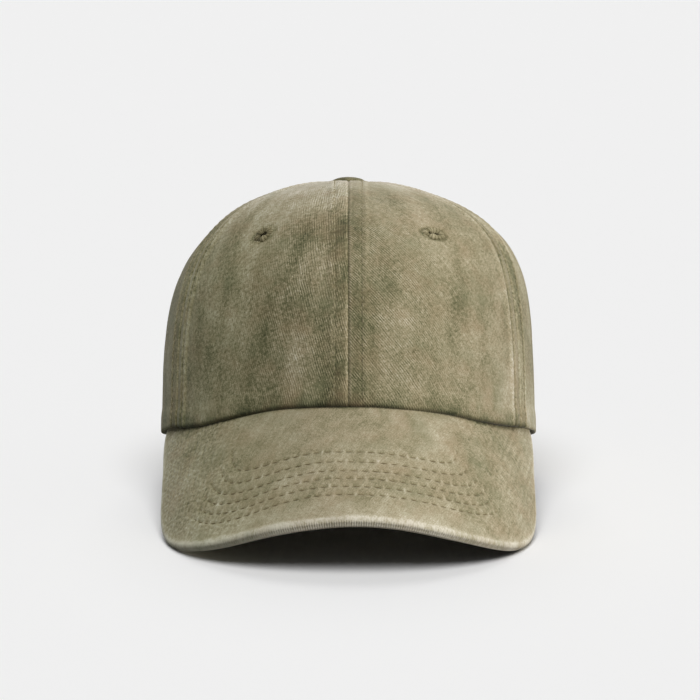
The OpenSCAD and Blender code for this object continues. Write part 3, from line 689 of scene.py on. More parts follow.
def hem_wave(phi):
    """How far the hem hangs below its even line, in mm: low beside the middle, high towards one temple."""
    return 1.2 * bell(phi, 22, 10) - 0.8 * bell(phi, 53, 13) + 0.7 * bell(phi, -27, 8)


def hem_drop(phi, t):
    """How far the cloth near the hem hangs down: a little over the visor, more at its ends, and the wave."""
    drop = HEM_DROP * (1 - smooth(np.abs(phi), VISOR_END - 3, VISOR_END + 3))
    drop = (drop + CORNER_DROP * bell(np.abs(phi), VISOR_END + 6, 13)) * (1 - smooth(t, 0, 9))
    return drop + hem_wave(phi) * (1 - smooth(t, 0, 16))


def both_seams(phi, rise, t, from_start, from_end, from_arch, arch_side, dye_kept):
    """Relief, wear and shade beside a panel's two seams, and none along the edge of the rear opening.

    The centre seam of the front is pressed flatter than the others. The cloth beside it is darker, by kept
    dye and painted shade, and all the seams' shade fades towards the top. On the cap's right, the shaded
    side, the seams wear less, as painted shade.
    """
    room = smooth(from_start[:, -1:], 8, 26)
    relief, wear, shade = np.zeros((3, *t.shape))
    for s, side in ((from_start, -1), (from_end, 1)):
        sewn_share = smooth(from_arch, 0, 5) * (rise > ARCH_RISE) if side == arch_side else 1.0
        centre = np.abs(phi[:, :1] if side < 0 else phi[:, -1:]) < 1
        more_wear, more_shade = seam_marks(s, room, np.where(centre, CENTRE_RIDGE, OTHER_RIDGE))
        relief += sewn_share * seam_relief(s, t, room, np.where(centre, CENTRE_PRESSED, OTHER_PRESSED))
        # Less wear on the seams of the cap's right, its shaded side, as painted shade.
        worn = np.where(phi < -1, RIGHT_WEAR_IN_SHADE, np.where(centre, CENTRE_WEAR, OTHER_WEAR))
        wear += sewn_share * more_wear * worn
        # Painted shade and kept dye beside the seams, and a band of both beside the centre seam.
        seam_shade_and_dye = sewn_share * more_shade + centre * dye_kept * room * (1 - smooth(s, 8, 46))
        shade += seam_shade_and_dye * (1 - LESS_SEAM_SHADE_AT_TOP * smooth(rise, 0.48, 0.8))
    return relief, wear, shade


print("the hem hangs", round(float(hem_wave(22.0)), 2), "mm low beside the middle")

# %% Panel builder
HEM_FOLD, LEAST_T, HOLE_SHARE = 1.1, 0.05, 0.52
INNER_SHIFT = 4 * UV_MM


def turned_map(u, v, grain):
    """The cloth's map turned until its wales run at the grain's angle in degrees."""
    turn = np.radians(grain)
    return np.stack([u * np.sin(turn) + v * np.cos(turn), v * np.sin(turn) - u * np.cos(turn)], -1)


def both_skins(values):
    """The same values on the outer and on the inner skin."""
    return np.concatenate([values.reshape(-1, *values.shape[2:])] * 2)


def both_maps(uv):
    """The map of both skins. The inner one lies further along the cloth, so its wash isn't the outer one's."""
    flat = both_skins(uv)
    flat[len(flat) // 2:, 0] += INNER_SHIFT
    return flat


def panel_cloth(start, end, grain, seed, arch_side, wash, eyelet):
    """A panel's two skins, map, eyelet hole and marks. Depth is the rolled edges less all relief.

    The wash says how far the panel has faded in all, towards the top, where the paleness is partly painted
    light, and at the tip, how olive it is low on its outer side, how much darker it is at the centre seam,
    by kept dye and painted shade, and how streaked and pebbled it is.
    """
    phi, rise = panel_base(start, end, arch_side)
    base = crown(phi, rise, 0.0)
    from_arch, ring = arch_distance(base, arch_side), eyelet_distance(base, *eyelet)
    t, from_start = arc(base), arc(base, 1)
    width = from_start[:, -1:]
    from_end, u = width - from_start, from_start - width / 2
    by_visor = 1 - smooth(np.abs(phi), VISOR_END - 18, VISOR_END - 4)
    relief, wear, shade = both_seams(
        phi, rise, t, from_start, from_end, from_arch, arch_side, wash["dye_kept"])
    inside = smooth(np.minimum(from_start, from_end), 2, 14) * smooth(t, 4, 20)
    relief += inside * (0.45 * ripples(u, t, seed, 34, 80) + 0.12 * ripples(u, t, seed + 1, 9, 20))
    relief += edge_relief(from_arch) + 0.5 * (1 - smooth(t, 5, 10)) - 0.3 * bell(ring, 1.1, 0.22)
    wear += wash["streaked"] * ripples(u, 0.25 * t, seed + 2, 8, 34, 14) + wash["faded"]
    # Paler towards the top and the tip: fading, and towards the top partly painted light.
    wear += wash["top_faded"] * smooth(rise, 0.5, 0.85) + wash["tip_faded"] * smooth(rise, 0.68, 0.82)
    # Wear along the rear opening's edge, and painted light on the hem's corner past the visor's end on the
    # cap's left, which faces down into shade.
    wear += 0.2 * bell(from_arch, 0.6, 0.9) + 0.3 * bell(t, 2, 20) * bell(phi, 80, 13)
    # Painted shade: in the crease where the hem meets the visor, most along the visor, in the sunk row round
    # the rear opening, and as a dark outline round the eyelet's ring.
    hem_painted_shade = (0.2 + 0.8 * by_visor) * (0.36 * bell(t, 0, 1.3) + 0.17 * bell(t, 0, 5))
    shade += hem_painted_shade + 0.14 * bell(from_arch, STITCH_AT, 0.6) + 0.3 * bell(ring, 1.08, 0.16)
    depth = rolled(t, HEM_R * (0.45 + 0.55 * by_visor)) + rolled(from_arch, HEM_R)
    inner_depth = PANEL_T + HEM_FOLD * (1 - smooth(t, 3, 9)) - depth
    drop = hem_drop(phi, t)
    lower = np.stack([0 * drop, 0 * drop, -drop], -1)
    outer = crown(phi, rise, depth - relief) + lower
    inner = crown(phi, rise, np.maximum(inner_depth, depth + LEAST_T)) + lower
    hole = ((ring[:-1, :-1] + ring[1:, 1:]) / 2) < HOLE_SHARE
    marks = {
        "wear": wear, "shade": shade, "edge_mm": u,
        "ribbed": 0.6 * bell(t, 2.0, 2.6),
        "olive": wash["olive"] * smooth(np.abs(phi), 6, 48) * (1 - smooth(rise, 0.4, 0.8)),
        "rubbed": 0.65 * smooth(np.abs(phi), 12, 40),
        "pebbled": np.full_like(u, wash["pebbled"]),
    }
    return (outer, inner, hole), turned_map(u, t, grain), marks, from_start, from_end


print("a panel is", PANEL_T, "mm thick and", PANEL_T + HEM_FOLD, "mm at its hem")

# %% Six panels
FRONT_LEFT_WASH = {
    "faded": 0.0, "top_faded": -0.04, "tip_faded": 0.34, "olive": 0.0, "dye_kept": 0.06,
    "streaked": 0.25, "pebbled": 0.5,
}
# The front right panel is on the shaded side: its paler top is partly painted light, and its darker band at
# the centre seam partly painted shade.
FRONT_RIGHT_WASH = {
    "faded": 0.0, "top_faded": 0.42, "tip_faded": 0.0, "olive": 0.75, "dye_kept": 0.14,
    "streaked": 0.36, "pebbled": 0.75,
}


def side_wash(faded, olive, pebbled=0.6):
    """The wash of a side or back panel: even streaks, a paler top, and its own fading, cast and pebbles."""
    return {
        "faded": faded, "top_faded": 0.12, "tip_faded": 0.2, "olive": olive, "dye_kept": 0.0,
        "streaked": 0.36, "pebbled": pebbled,
    }


# For each panel: its two edges, the grain in degrees, a seed, the side of the rear opening, and the wash.
PANELS = {
    "front_left": (fixed(0.0), fixed(FRONT_SEAM), 52, 11, 0, FRONT_LEFT_WASH),
    "front_right": (fixed(-FRONT_SEAM), fixed(0.0), 72, 23, 0, FRONT_RIGHT_WASH),
    "side_left": (fixed(FRONT_SEAM), fixed(BACK_SEAM), 60, 37, 0, side_wash(0.0, 0.2)),
    "side_right": (fixed(-BACK_SEAM), fixed(-FRONT_SEAM), 66, 41, 0, side_wash(-0.05, 0.66, 0.7)),
    "back_left": (fixed(BACK_SEAM), arched(1), 56, 53, 1, side_wash(0.02, 0.4)),
    "back_right": (arched(-1), fixed(-BACK_SEAM), 64, 67, -1, side_wash(0.0, 0.3)),
}
sewn_panels = {}
for name, recipe in PANELS.items():
    cloth, uv, marks, from_start, from_end = panel_cloth(*recipe, EYELETS[name + "_eyelet"][0])
    points, quads = shell(*cloth)
    put(name + "_panel_cloth", points, quads, crown_twill, "washed_twill", node=name + "_panel",
        uv=both_maps(uv), **{mark: both_skins(values) for mark, values in marks.items()})
    sewn_panels[name] = (cloth[0], from_start, from_end)

# %% [markdown]
# ## Thread
# A stitch is a short bowed tube whose two ends dive into the cloth. A dashed line in the finish could
# stand for a row, but real thread catches the light and stays with the mesh. One function lays a whole
# row along a path, with the tubes of every stitch worked out at once.

# %% Rows of stitches
RINGS, SIDES = 5, 6
FIRST_STITCH, UNEVEN_DASH = 0.3, (0.8, 1.08)
BOW, DIVE = 1.5, 0.9
END_GIRTH, MORE_GIRTH = 0.6, 0.4


def stitches(path, up, pitch, dash, radius, sink=0.0, length=None):
    """Tubes of one uneven dash each, a pitch apart along a path: bowed by a half sine, thinner at both ends.

    The sink, one number or one for each point of the path, lowers the thread into the cloth. The length
    along the path may be given, so that stitches fall between puckers that were laid with it.
    """
    length = arc(path) if length is None else length
    starts = np.arange(FIRST_STITCH * pitch, length[-1] - dash, pitch)
    share = np.linspace(0, 1, RINGS)
    uneven = np.random.default_rng(len(starts)).uniform(*UNEVEN_DASH, (len(starts), 1))
    at = starts[:, None] + dash * uneven * share
    centre, lift = (
        np.stack([np.interp(at, length, line[:, k]) for k in range(3)], -1) for line in (path, up))
    along = np.gradient(centre, axis=1)
    lift /= np.linalg.norm(lift, axis=-1, keepdims=True)
    side = np.cross(along, lift)
    side /= np.maximum(np.linalg.norm(side, axis=-1, keepdims=True), 1e-9)
    bow = np.sin(np.pi * share)[:, None]
    deep = np.interp(at, length, np.broadcast_to(sink, length.shape))[..., None]
    centre = centre + lift * (radius * (BOW * bow - DIVE) - deep)
    angle = np.linspace(0, 2 * np.pi, SIDES, endpoint=False)[:, None]
    girth = radius * (END_GIRTH + MORE_GIRTH * bow)[:, None]
    ring = np.cos(angle) * side[:, :, None] + np.sin(angle) * lift[:, :, None]
    return centre[:, :, None] + girth * ring


def tube_mesh(tubes):
    """Quads of many tubes at once: rings joined in turn, and each end closed by two quads."""
    count = len(tubes)
    index = np.arange(count * RINGS * SIDES).reshape(count, RINGS, SIDES)
    turned = np.roll(index, -1, axis=2)
    body = np.stack([index[:, :-1], index[:, 1:], turned[:, 1:], turned[:, :-1]], -1).reshape(-1, 4)
    first, last = index[:, 0], index[:, -1]
    caps = [first[:, [0, 1, 2, 3]], first[:, [0, 3, 4, 5]], last[:, [3, 2, 1, 0]], last[:, [5, 4, 3, 0]]]
    return tubes.reshape(-1, 3), np.concatenate([body] + caps)


def crossing(points, distance, target):
    """Per row of a grid, the point where a distance along the row passes a target, by linear steps."""
    after = np.clip((distance < target).sum(1), 1, points.shape[1] - 1)[:, None]
    d0, d1 = (np.take_along_axis(distance, after - k, 1) for k in (1, 0))
    p0, p1 = (np.take_along_axis(points, (after - k)[..., None], 1)[:, 0] for k in (1, 0))
    share = np.clip((target - d0) / np.maximum(d1 - d0, 1e-9), 0, 1)
    return p0 + (p1 - p0) * share


print("a stitch has", RINGS, "rings of", SIDES, "points")

# %% Topstitching of the crown
TOP_ROW = {"pitch": STITCH_PITCH, "dash": 2.5, "radius": 0.24, "sink": 0.02}
ROOM_FOR_ROWS = 2.4 * STITCH_AT
ABOVE_HEM, ABOVE_ARCH = 4, 62
crown_rows = []
for name, (outer, from_start, from_end) in sewn_panels.items():
    up, run = normals(outer), arc(outer[:, PANEL_COLS // 2 - 1])
    for distance, flip in ((from_start, 1), (from_end[:, ::-1], -1)):
        by_arch = name.startswith("back") and (flip == 1) == ("right" in name)
        sewn_part = (from_start[:, -1] > ROOM_FOR_ROWS) & (run > (ABOVE_ARCH if by_arch else ABOVE_HEM))
        path, face = (crossing(table[:, ::flip], distance, STITCH_AT)[sewn_part] for table in (outer, up))
        crown_rows.append(stitches(path, face, **TOP_ROW))


def arch_line(off, depth, count=200, end=0.03):
    """A line round the rear opening, a distance outside its edge, from one foot over the top to the other."""
    turn = np.pi * np.linspace(end, 1 - end, count)
    across = ARCH_PHI + np.degrees(off / HALF_L)
    top = rise_at(ARCH_H + off, 180.0)
    return crown(180 + across * np.cos(turn), top * np.sin(turn), depth)


path = arch_line(STITCH_AT, -0.12)
crown_rows.append(stitches(path, path - arch_line(STITCH_AT, 1.0), **TOP_ROW))
points, quads = tube_mesh(np.concatenate(crown_rows))
put("crown_topstitching", points, quads, seam_thread, "eyelet_thread")

# %% [markdown]
# ## Visor
# The visor is a flat crescent of board and cloth, bent round a cylinder and sewn to the crown's lower
# edge. It could be modelled bent, but it is drawn flat, as it is cut, with a squared ellipse for its
# front, and then bent, so that the cloth's map is simply the flat pattern.

# %% Visor formula
VISOR_IN, VISOR_RISE, VISOR_L, WIDEST_AT = 2.0, 0.4, 73.0, 6.8
BEND_R, SQUARENESS, FRONT_SHARE = HALF_W + 7, 2.4, 0.78
VISOR_FLARE, VISOR_SETTLE, VISOR_BLUNT, VISOR_T = 1.8, 60.0, 0.985, 4.0
SIDE_FULL, STEP_S = 1.6, 0.002
VISOR_PITCH = np.radians(49)
ROOT = np.array([0, -(HALF_L - VISOR_IN), VISOR_RISE])
FORE = np.array([0, -np.cos(VISOR_PITCH), -np.sin(VISOR_PITCH)])
UP = np.array([0, -np.sin(VISOR_PITCH), np.cos(VISOR_PITCH)])


def bent(u, q, w):
    """Flat pattern to space: u wraps round the bend's radius, q runs forward and w stands off the surface."""
    r = BEND_R + w
    place = ROOT + q[..., None] * FORE - (BEND_R - r * np.cos(u / BEND_R))[..., None] * UP
    place[..., 0] += r * np.sin(u / BEND_R)
    return place


def sewn(phi):
    """The line inside the crown's lower edge that the visor is sewn to."""
    return crown(phi, 0.0 * phi, VISOR_IN) + [0, 0, VISOR_RISE]


def sewn_flat(phi):
    """The same line on the flat pattern, by unwrapping the bend."""
    p = sewn(phi)
    return np.stack([BEND_R * np.arcsin(p[..., 0] / BEND_R), (p - ROOT) @ FORE], -1)


END_U, END_Q = sewn_flat(np.array(VISOR_END))
VISOR_HALF = END_U + VISOR_FLARE


def side_width(t):
    """How far a side stands out past the visor's end, t of its way forward: a quick curve and a soft bell."""
    return (VISOR_HALF - END_U) * (1 - (1 - t) ** 5) + SIDE_FULL * bell(t, 0.3, 0.3)


def outline(s):
    """Flat outline from the front centre (0) to the visor's end (1): a squared ellipse, then a full side."""
    g = np.pi / 2 * (1 - np.minimum(s / FRONT_SHARE, 1))
    k = (np.cos(g) ** SQUARENESS + np.sin(g) ** SQUARENESS) ** (-1 / SQUARENESS)
    t = np.minimum((1 - s) / (1 - FRONT_SHARE), 1)
    front = np.stack([VISOR_HALF * k * np.cos(g), WIDEST_AT + (VISOR_L - WIDEST_AT) * k * np.sin(g)], -1)
    side = np.stack([END_U + side_width(t), END_Q + (WIDEST_AT - END_Q) * t], -1)
    return np.where((s <= FRONT_SHARE)[..., None], front, side)


def inner_line(s, inset):
    """The outline moved inwards, square to its own direction."""
    along = outline(np.minimum(s + STEP_S, 1)) - outline(np.maximum(s - STEP_S, 0))
    along /= np.linalg.norm(along, axis=-1, keepdims=True)
    return outline(s) + inset[..., None] * np.stack([along[..., 1], -along[..., 0]], -1)


def visor_flat(s, v, inset):
    """Flat point on the spoke s, from the sewn edge (v 0) to a line inside the outline (v 1)."""
    start = sewn_flat(np.abs(s) * VISOR_END)
    span = inner_line(np.abs(s) * VISOR_BLUNT, inset) - start
    return start + v[..., None] * span, v * np.linalg.norm(span, axis=-1)


def hand_bend(u):
    """How far hands have bent the visor past its cylinder: up in the middle, down towards one corner."""
    return 1.9 * bell(u, 12, 34) - 1.3 * bell(u, -58, 17)


def visor_point(s, v, inset, w):
    """Visor point in space. Near the crown it is lifted onto the sewn line, and settles by a square."""
    flat, reach = visor_flat(s, v, inset)
    phi = np.abs(s) * VISOR_END
    start = sewn_flat(phi)
    lift = (sewn(phi) - bent(start[..., 0], start[..., 1], 0 * phi)) @ UP
    settle = np.clip(1 - reach / VISOR_SETTLE, 0, 1) ** 2
    side = np.where(s < 0, -1, 1)
    up = lift * settle + v**2 * hand_bend(side * flat[..., 0])
    place = bent(flat[..., 0], flat[..., 1], w) + up[..., None] * UP
    place[..., 0] *= side
    return place


print("half the visor is", round(float(VISOR_HALF), 1), "mm wide on the flat pattern")

# %% [markdown]
# Six rows of stitching follow the visor's edge, further in at its sides. On the flat pattern a row is
# the outline shrunk by its distance from the edge, so the distance of any point is found by halving an
# interval until the shrunk outline passes through it. Grooves, puckers and pebbles are functions of it.

# %% Distance from the visor's edge
ROW_AT = (18.2, 23.3, 28.4, 33.3, 38.9, 45.1)
ROW_PITCH, ROW_DASH, ROW_RADIUS = 4.6, 3.8, 0.24
ROW_SIDE_IN, ROW_SQUARENESS, ROW_SQUARER, ROW_SKEW, ROW_FRONT = 9.0, 2.7, 0.055, 4.0, 1.7
HALVINGS = 30


def edge_distance(flat, side_in=0.0, squareness=SQUARENESS, squarer=0.0):
    """Distance inwards from the outline, or from one that is narrower and squarer, by halving an interval.

    The outline may also grow squarer with every millimetre inwards.
    """
    u, q = np.abs(flat[..., 0]), flat[..., 1] - WIDEST_AT
    t = np.clip((flat[..., 1] - END_Q) / (WIDEST_AT - END_Q), 0, 1)
    half = VISOR_HALF - side_in
    beside = END_U - side_in + side_width(t) - u
    low, high = np.full_like(u, -side_in), np.full_like(u, VISOR_L - WIDEST_AT - 0.5)
    for _ in range(HALVINGS):
        middle = (low + high) / 2
        power = squareness + squarer * np.maximum(middle, 0)
        size = (u / (half - middle)) ** power
        size += (np.maximum(q, 0) / (VISOR_L - WIDEST_AT - middle)) ** power
        low, high = np.where(size < 1, middle, low), np.where(size < 1, high, middle)
    return np.where(q > 0, low, beside)


VISOR_COLS, VISOR_ROWS = 361, 116
ROLL_IN, CLOTH_T = 2.2, 0.8
spoke = np.linspace(-1, 1, VISOR_COLS)[None, :]
share = np.linspace(1, 0, VISOR_ROWS)[:, None]
s_grid, v_grid = np.broadcast_arrays(spoke, share)
flat_grid, from_crown = visor_flat(s_grid, v_grid, np.full_like(s_grid, ROLL_IN))
flat_grid[..., 0] *= np.where(s_grid < 0, -1, 1)
from_edge = edge_distance(flat_grid)
from_row = edge_distance(flat_grid, ROW_SIDE_IN, ROW_SQUARENESS, ROW_SQUARER)
from_row += ROW_SKEW * smooth(-flat_grid[..., 0], 10, 52) + ROW_FRONT * bell(flat_grid[..., 0], 6, 36)
print("deepest point of the visor lies", round(float(from_edge.max()), 1), "mm from its edge")


# %% Relief of the visor
level = visor_point(s_grid, v_grid, np.full_like(s_grid, ROLL_IN), 0 * s_grid)
GAP_AT = FIRST_STITCH + (ROW_DASH / ROW_PITCH + 1) / 2 - 1  # middle of the gap before a stitch, in pitches
ROW_DEPTH = 0.42


def row_lines(grid):
    """The six rows on a grid of visor points: per spoke, the point at each row's distance from the edge.

    With each come the spokes that the row crosses, its length along the smooth visor and a share that
    falls to 0 where the row turns up towards the crown, because there the cloth has swallowed it.
    """
    inside = from_row.T
    rows = []
    for at in ROW_AT:
        line, smooth_line, flat = (
            crossing(np.swapaxes(table, 0, 1), inside, at) for table in (grid, level, flat_grid))
        valid = inside[:, -1] > at + 1
        run = arc(smooth_line)
        turned = flat[len(flat) // 2, 1] - flat[:, 1]
        rows.append((at, line, valid, run - run[valid.argmax()], 1 - smooth(turned, 9, 20)))
    return rows


def visor_relief(grid):
    """Sunk rows with puckers at the stitch pitch, pebbled sides and a soft unevenness, in mm."""
    u, q = flat_grid[..., 0], flat_grid[..., 1]
    sides = smooth(np.abs(u), 38, 74)
    pebbles = ripples(u, q, 5, 2.2, 3.8, 9) * (0.06 + 0.23 * sides)
    relief = 0.3 * ripples(u, q, 3, 22, 50) + pebbles * smooth(from_edge, 3, 8)
    groove, raised = np.zeros_like(u), pebbles
    for at, _, valid, run, clear in row_lines(grid):
        phase = np.cos(2 * np.pi * (run / ROW_PITCH - GAP_AT))[None, :]
        share = valid * (0.3 + 0.7 * clear)
        groove = np.maximum(groove, bell(from_row, at, 0.75) * share * (0.8 - 0.2 * phase))
        relief += 0.09 * phase * bell(from_row, at, 2.0) * share
        tick = 0.45 + 0.6 * ripples(run, 0 * run, int(at), 5, 19)
        raised = raised + tick * np.maximum(phase, 0) ** 5 * bell(from_row, at, 1.3) * share
    return relief - ROW_DEPTH * groove, groove, raised


relief, groove, raised = visor_relief(level)
print("visor relief from", round(float(relief.min()), 2), "to", round(float(relief.max()), 2), "mm")

# %% [markdown]
# The cloth rolls over the board's edge and down to a seam low on it, where the under cloth meets it. A
# ridge follows the fold, worn palest of all, and the gathered cloth below it is ribbed. The same builder
# makes both covers: the under cover is turned over, starts at the same seam and has a fuller edge.

# %% Visor covers
BAND_STEPS, ROLL_STEPS = 6, 9
RIM_ROWS = BAND_STEPS + ROLL_STEPS
SEAM_AT = -1.5
TUCK_IN, BAND_BOW, BAND_LEAN = 0.35, 0.1, 0.45
RIM_SOFT, RIM_RUN = 0.14, 150


def visor_cover(face, relief, edge_lift, seam, roll_down):
    """Two skins of one cover: an upright band from the seam, a roll of a quarter ellipse, then the face.

    The band is tucked in at the seam and bows in a little. On the top cover it leans out at the bottom.
    """
    turn = np.linspace(np.pi / 2, 0, ROLL_STEPS, endpoint=False)[:, None]
    climb = np.linspace(0, 1, BAND_STEPS, endpoint=False)[:, None]
    edge = np.ones((RIM_ROWS, VISOR_COLS))
    soft = RIM_SOFT * ripples(spoke * RIM_RUN, 0 * spoke, 9, 3, 15, 11)
    tuck = TUCK_IN * (1 - smooth(climb, 0, 0.3)) + BAND_BOW * np.sin(np.pi * climb)
    tuck = tuck - BAND_LEAN * (face > 0) * (1 - climb)
    skins = []
    for inside in (0.0, CLOTH_T):
        near = np.concatenate([tuck + inside, ROLL_IN - (ROLL_IN - inside) * np.sin(turn)])
        fall = roll_down * (1 - np.cos(turn)) + inside * np.cos(turn)
        roll = VISOR_T / 2 - fall + (soft + edge_lift[:1]) * np.cos(turn)
        band = seam + (VISOR_T / 2 - roll_down - seam) * climb + 0.5 * soft
        off = face * np.concatenate([band, roll]) - VISOR_T / 2
        rim = visor_point(spoke * edge, edge, near * edge, off)
        high = VISOR_T / 2 - inside + (relief if inside == 0 else 0) + edge_lift
        high = high + soft * bell(from_edge, 0, 3)
        top = visor_point(s_grid, v_grid, np.full_like(s_grid, ROLL_IN), face * high - VISOR_T / 2)
        skins.append(np.concatenate([rim, top[1:]]))
    return skins


def cover_marks(face):
    """Wear on the ridge and on the puckers, painted shade in the rows and at both seams, ribs below the ridge.

    Each mark has a table for the rim, from the seam up to the fold, and one for the face. The rim is worn
    and painted lighter, as light, at its lower edge and on the visor's shaded left; the lit right is painted
    darker, as shade. The under cover's rim is painted lighter, as light, and its face carries painted shade
    near its edge, where the rim hangs over it.
    """
    ring = np.linspace(0, 1, RIM_ROWS)[:, None] * np.ones(VISOR_COLS)
    u, run = flat_grid[..., 0], arc(level[0])
    # Painted light on the visor's left in the picture, its shaded side.
    left_painted_light = smooth(-u, -35, 30)
    ends = 0.1 * smooth(np.abs(spoke), 0.5, 0.8)
    # The rim's band: wear, with painted light at its lower edge by the seam and on the shaded left.
    rim_wear_and_light = 0.26 + 0.04 * smooth(ring, 0.45, 0.95) + 0.26 * bell(ring, 0.0, 0.16)
    rim_wear_and_light = rim_wear_and_light + 0.12 * left_painted_light[:1] + ends
    # Wear on the ridge, less on the lit right as painted shade, more on the shaded left as painted light.
    ridge = 0.3 - 0.07 * smooth(u, 10, 60) + 0.2 * left_painted_light
    face_wear_light_and_shade = ridge * bell(from_edge, 1.4, 1.4) + 0.08 * bell(from_edge, 5, 9) + 0.5 * raised
    # Painted shade on the visor's lit right.
    face_wear_light_and_shade -= 0.06 * smooth(u, 30, 70)
    under = face < 0
    # Painted shade in the rim's seam; the under cover's rim painted lighter, as light.
    rim_shade_and_light = 0.12 * (1 - smooth(ring, 0.0, 0.06)) - 0.1 * under
    # Painted shade in the rows, under the crown's hem and, on the under cover, under the rim.
    face_shade = 0.13 * groove + 0.55 * bell(from_crown, 0, 1.7) + 0.4 * under * bell(from_edge, 0, 5)
    sides = (smooth(-u, 34, 70) + 0.5 * smooth(u, 34, 70)) * smooth(from_edge, 1, 6)
    cast = 0.5 * smooth(-u, 5, 60)
    tables = {
        "wear": (rim_wear_and_light, face_wear_light_and_shade),
        "shade": (rim_shade_and_light, face_shade),
        "edge_mm": (run + 0 * ring, run + 0 * from_edge),
        "ribbed": (0.85 - 0.75 * smooth(ring, 0.4, 0.9), 0.06 * bell(from_edge, 2.0, 1.0)),
        "pebbled": (0.5 + 0 * ring, 0.25 + 0.6 * sides),
        "olive": (cast[:1] + 0 * ring, cast),
    }
    return {mark: both_skins(np.concatenate([rim, top[1:]])) for mark, (rim, top) in tables.items()}


VISOR_GRAIN = 62
RIM_PAST, RIM_NEAR = 3.0, 0.3
UNDER_FULL = 0.9 * bell(from_edge, 2.0, 3.0) * (1 - smooth(np.abs(flat_grid[..., 0]), 40, 66))
TOP_RIDGE = 0.2 * bell(from_edge, 2.2, 1.6)
rim_flat = np.repeat(flat_grid[:1], RIM_ROWS, axis=0)
rim_flat[..., 1] += np.linspace(RIM_PAST, RIM_NEAR, RIM_ROWS)[:, None]
visor_map = both_maps(turned_map(*np.moveaxis(np.concatenate([rim_flat, flat_grid[1:]]), -1, 0), VISOR_GRAIN))
for name, face, finish, slot, edge_shape in (
    ("visor_top_cover", 1, visor_twill, "washed_twill", (TOP_RIDGE, SEAM_AT, 1.5)),
    ("visor_under_cover", -1, under_twill, "visor_under_twill", (UNDER_FULL, 0.1 - SEAM_AT, 0.38)),
):
    outer, inner = visor_cover(face, relief, *edge_shape)
    points, quads = shell(outer, inner)
    put(name + "_cloth", points, quads if face > 0 else quads[:, ::-1], finish, slot, node=name,
        uv=visor_map, **cover_marks(face))
    if face > 0:
        visor_top = outer[RIM_ROWS - 1:]

# %% [markdown]
# The stiff board gives the visor its bend. It lies hidden between the covers, so a plain sheet on the
# same formula, a little inside their edges, is enough.

# %% Board inside the visor
BOARD_IN, BOARD_HALF = 3.0, 1.0
BOARD_SPREAD, BOARD_COLS, BOARD_ROOT, BOARD_ROWS = 0.97, 121, 0.06, 30
board_spoke = np.linspace(-BOARD_SPREAD, BOARD_SPREAD, BOARD_COLS)[None, :]
s_board, v_board = np.broadcast_arrays(board_spoke, np.linspace(1, BOARD_ROOT, BOARD_ROWS)[:, None])
inset = np.full_like(s_board, BOARD_IN)
board_faces = [
    visor_point(s_board, v_board, inset, side * BOARD_HALF - VISOR_T / 2 + 0 * s_board) for side in (1, -1)]
points, quads = shell(*board_faces)
put("visor_board_sheet", points, quads, board_plastic, "visor_board", node="visor_board")

# %% [markdown]
# The six rows of thread are laid last, on the finished cloth, so that each stitch lies in its own groove
# between two puckers. Where a row turns up towards the crown, it sinks out of sight.

# %% Visor stitching
THREAD_SINK, TURNED_SINK = 0.04, 0.3
visor_up = normals(visor_top)
rows = []
for at, line, valid, run, clear in row_lines(visor_top):
    lift = crossing(np.swapaxes(visor_up, 0, 1), from_row.T, at)
    sink = THREAD_SINK + TURNED_SINK * (1 - clear)
    rows.append(stitches(
        line[valid], lift[valid], ROW_PITCH, ROW_DASH, ROW_RADIUS, sink[valid], run[valid]))
points, quads = tube_mesh(np.concatenate(rows))
put("visor_stitching", points, quads, row_thread, "eyelet_thread")

# %% [markdown]
# ## Eyelets and button
# An eyelet is sewn over the cut edge of a small hole with thread that goes round and round. Winding a
# tube would take many faces, so it is one ring with a ridge for each turn of thread. The button is a
# domed disc covered in the same twill, gathered under its edge: a profile turned round the crown's top.

# %% Eyelets
THREAD_TURNS, RING_STEPS, RING_SIDES = 18, 208, 16
RING_LEAST, RING_RIDGE, RING_PROUD, RING_FALL = 0.84, 0.16, 0.6, 0.02


def sewn_eyelet(phi, half_u, half_v, wide, slant):
    """A ring on the crown: an oval path, a flat oval section, and a ridge across it for each turn of thread.

    It falls off to both sides with the square of the distance, as the crown does. Painted shade darkens
    the thread between the ridges, in the hollows, on the outer edge and underneath.
    """
    centre, along, rising, out = eyelet_frame(phi)
    turn = np.radians(slant)
    theta = np.linspace(0, 2 * np.pi, RING_STEPS, endpoint=False)[:, None]
    psi = np.linspace(0, 2 * np.pi, RING_SIDES, endpoint=False)
    uneven = 0.3 * ripples(theta * 3, 0 * theta, int(abs(phi)), 1.5, 5)
    ridge = np.abs(np.cos(THREAD_TURNS / 2 * theta + 0.5 * np.sin(3 * theta)))
    swell = RING_LEAST + RING_RIDGE * ridge + uneven
    x = np.cos(theta) * (half_u + wide * swell * np.cos(psi))
    y = np.sin(theta) * (half_v + wide * swell * np.cos(psi))
    z = (PANEL_T / 2 + RING_PROUD) * swell * np.sin(psi) - RING_FALL * x * x - PANEL_T / 2 + 0.1
    x, y = x * np.cos(turn) - y * np.sin(turn), x * np.sin(turn) + y * np.cos(turn)
    # Painted shade between the ridges, in the hollows, on the outer edge and underneath.
    shade = 0.26 * (1 - ridge) - 0.7 * uneven + 0.1 * bell(np.cos(psi), 1, 0.25) + 0.1 * (psi > np.pi)
    return centre + x[..., None] * along + y[..., None] * rising + z[..., None] * out, shade


def ring_quads(steps, sides):
    """Quads of a ring that closes both ways."""
    index = np.arange(steps * sides).reshape(steps, sides)
    index = np.concatenate([index, index[:1]])
    return grid_quads(np.concatenate([index, index[:, :1]], 1))[:, ::-1]


for name, (oval, dye_kept) in EYELETS.items():
    points, shade = sewn_eyelet(*oval)
    put(name + "_thread", points.reshape(-1, 3), ring_quads(RING_STEPS, RING_SIDES), eyelet_thread,
        "eyelet_thread", node=name, shade=shade + dye_kept)

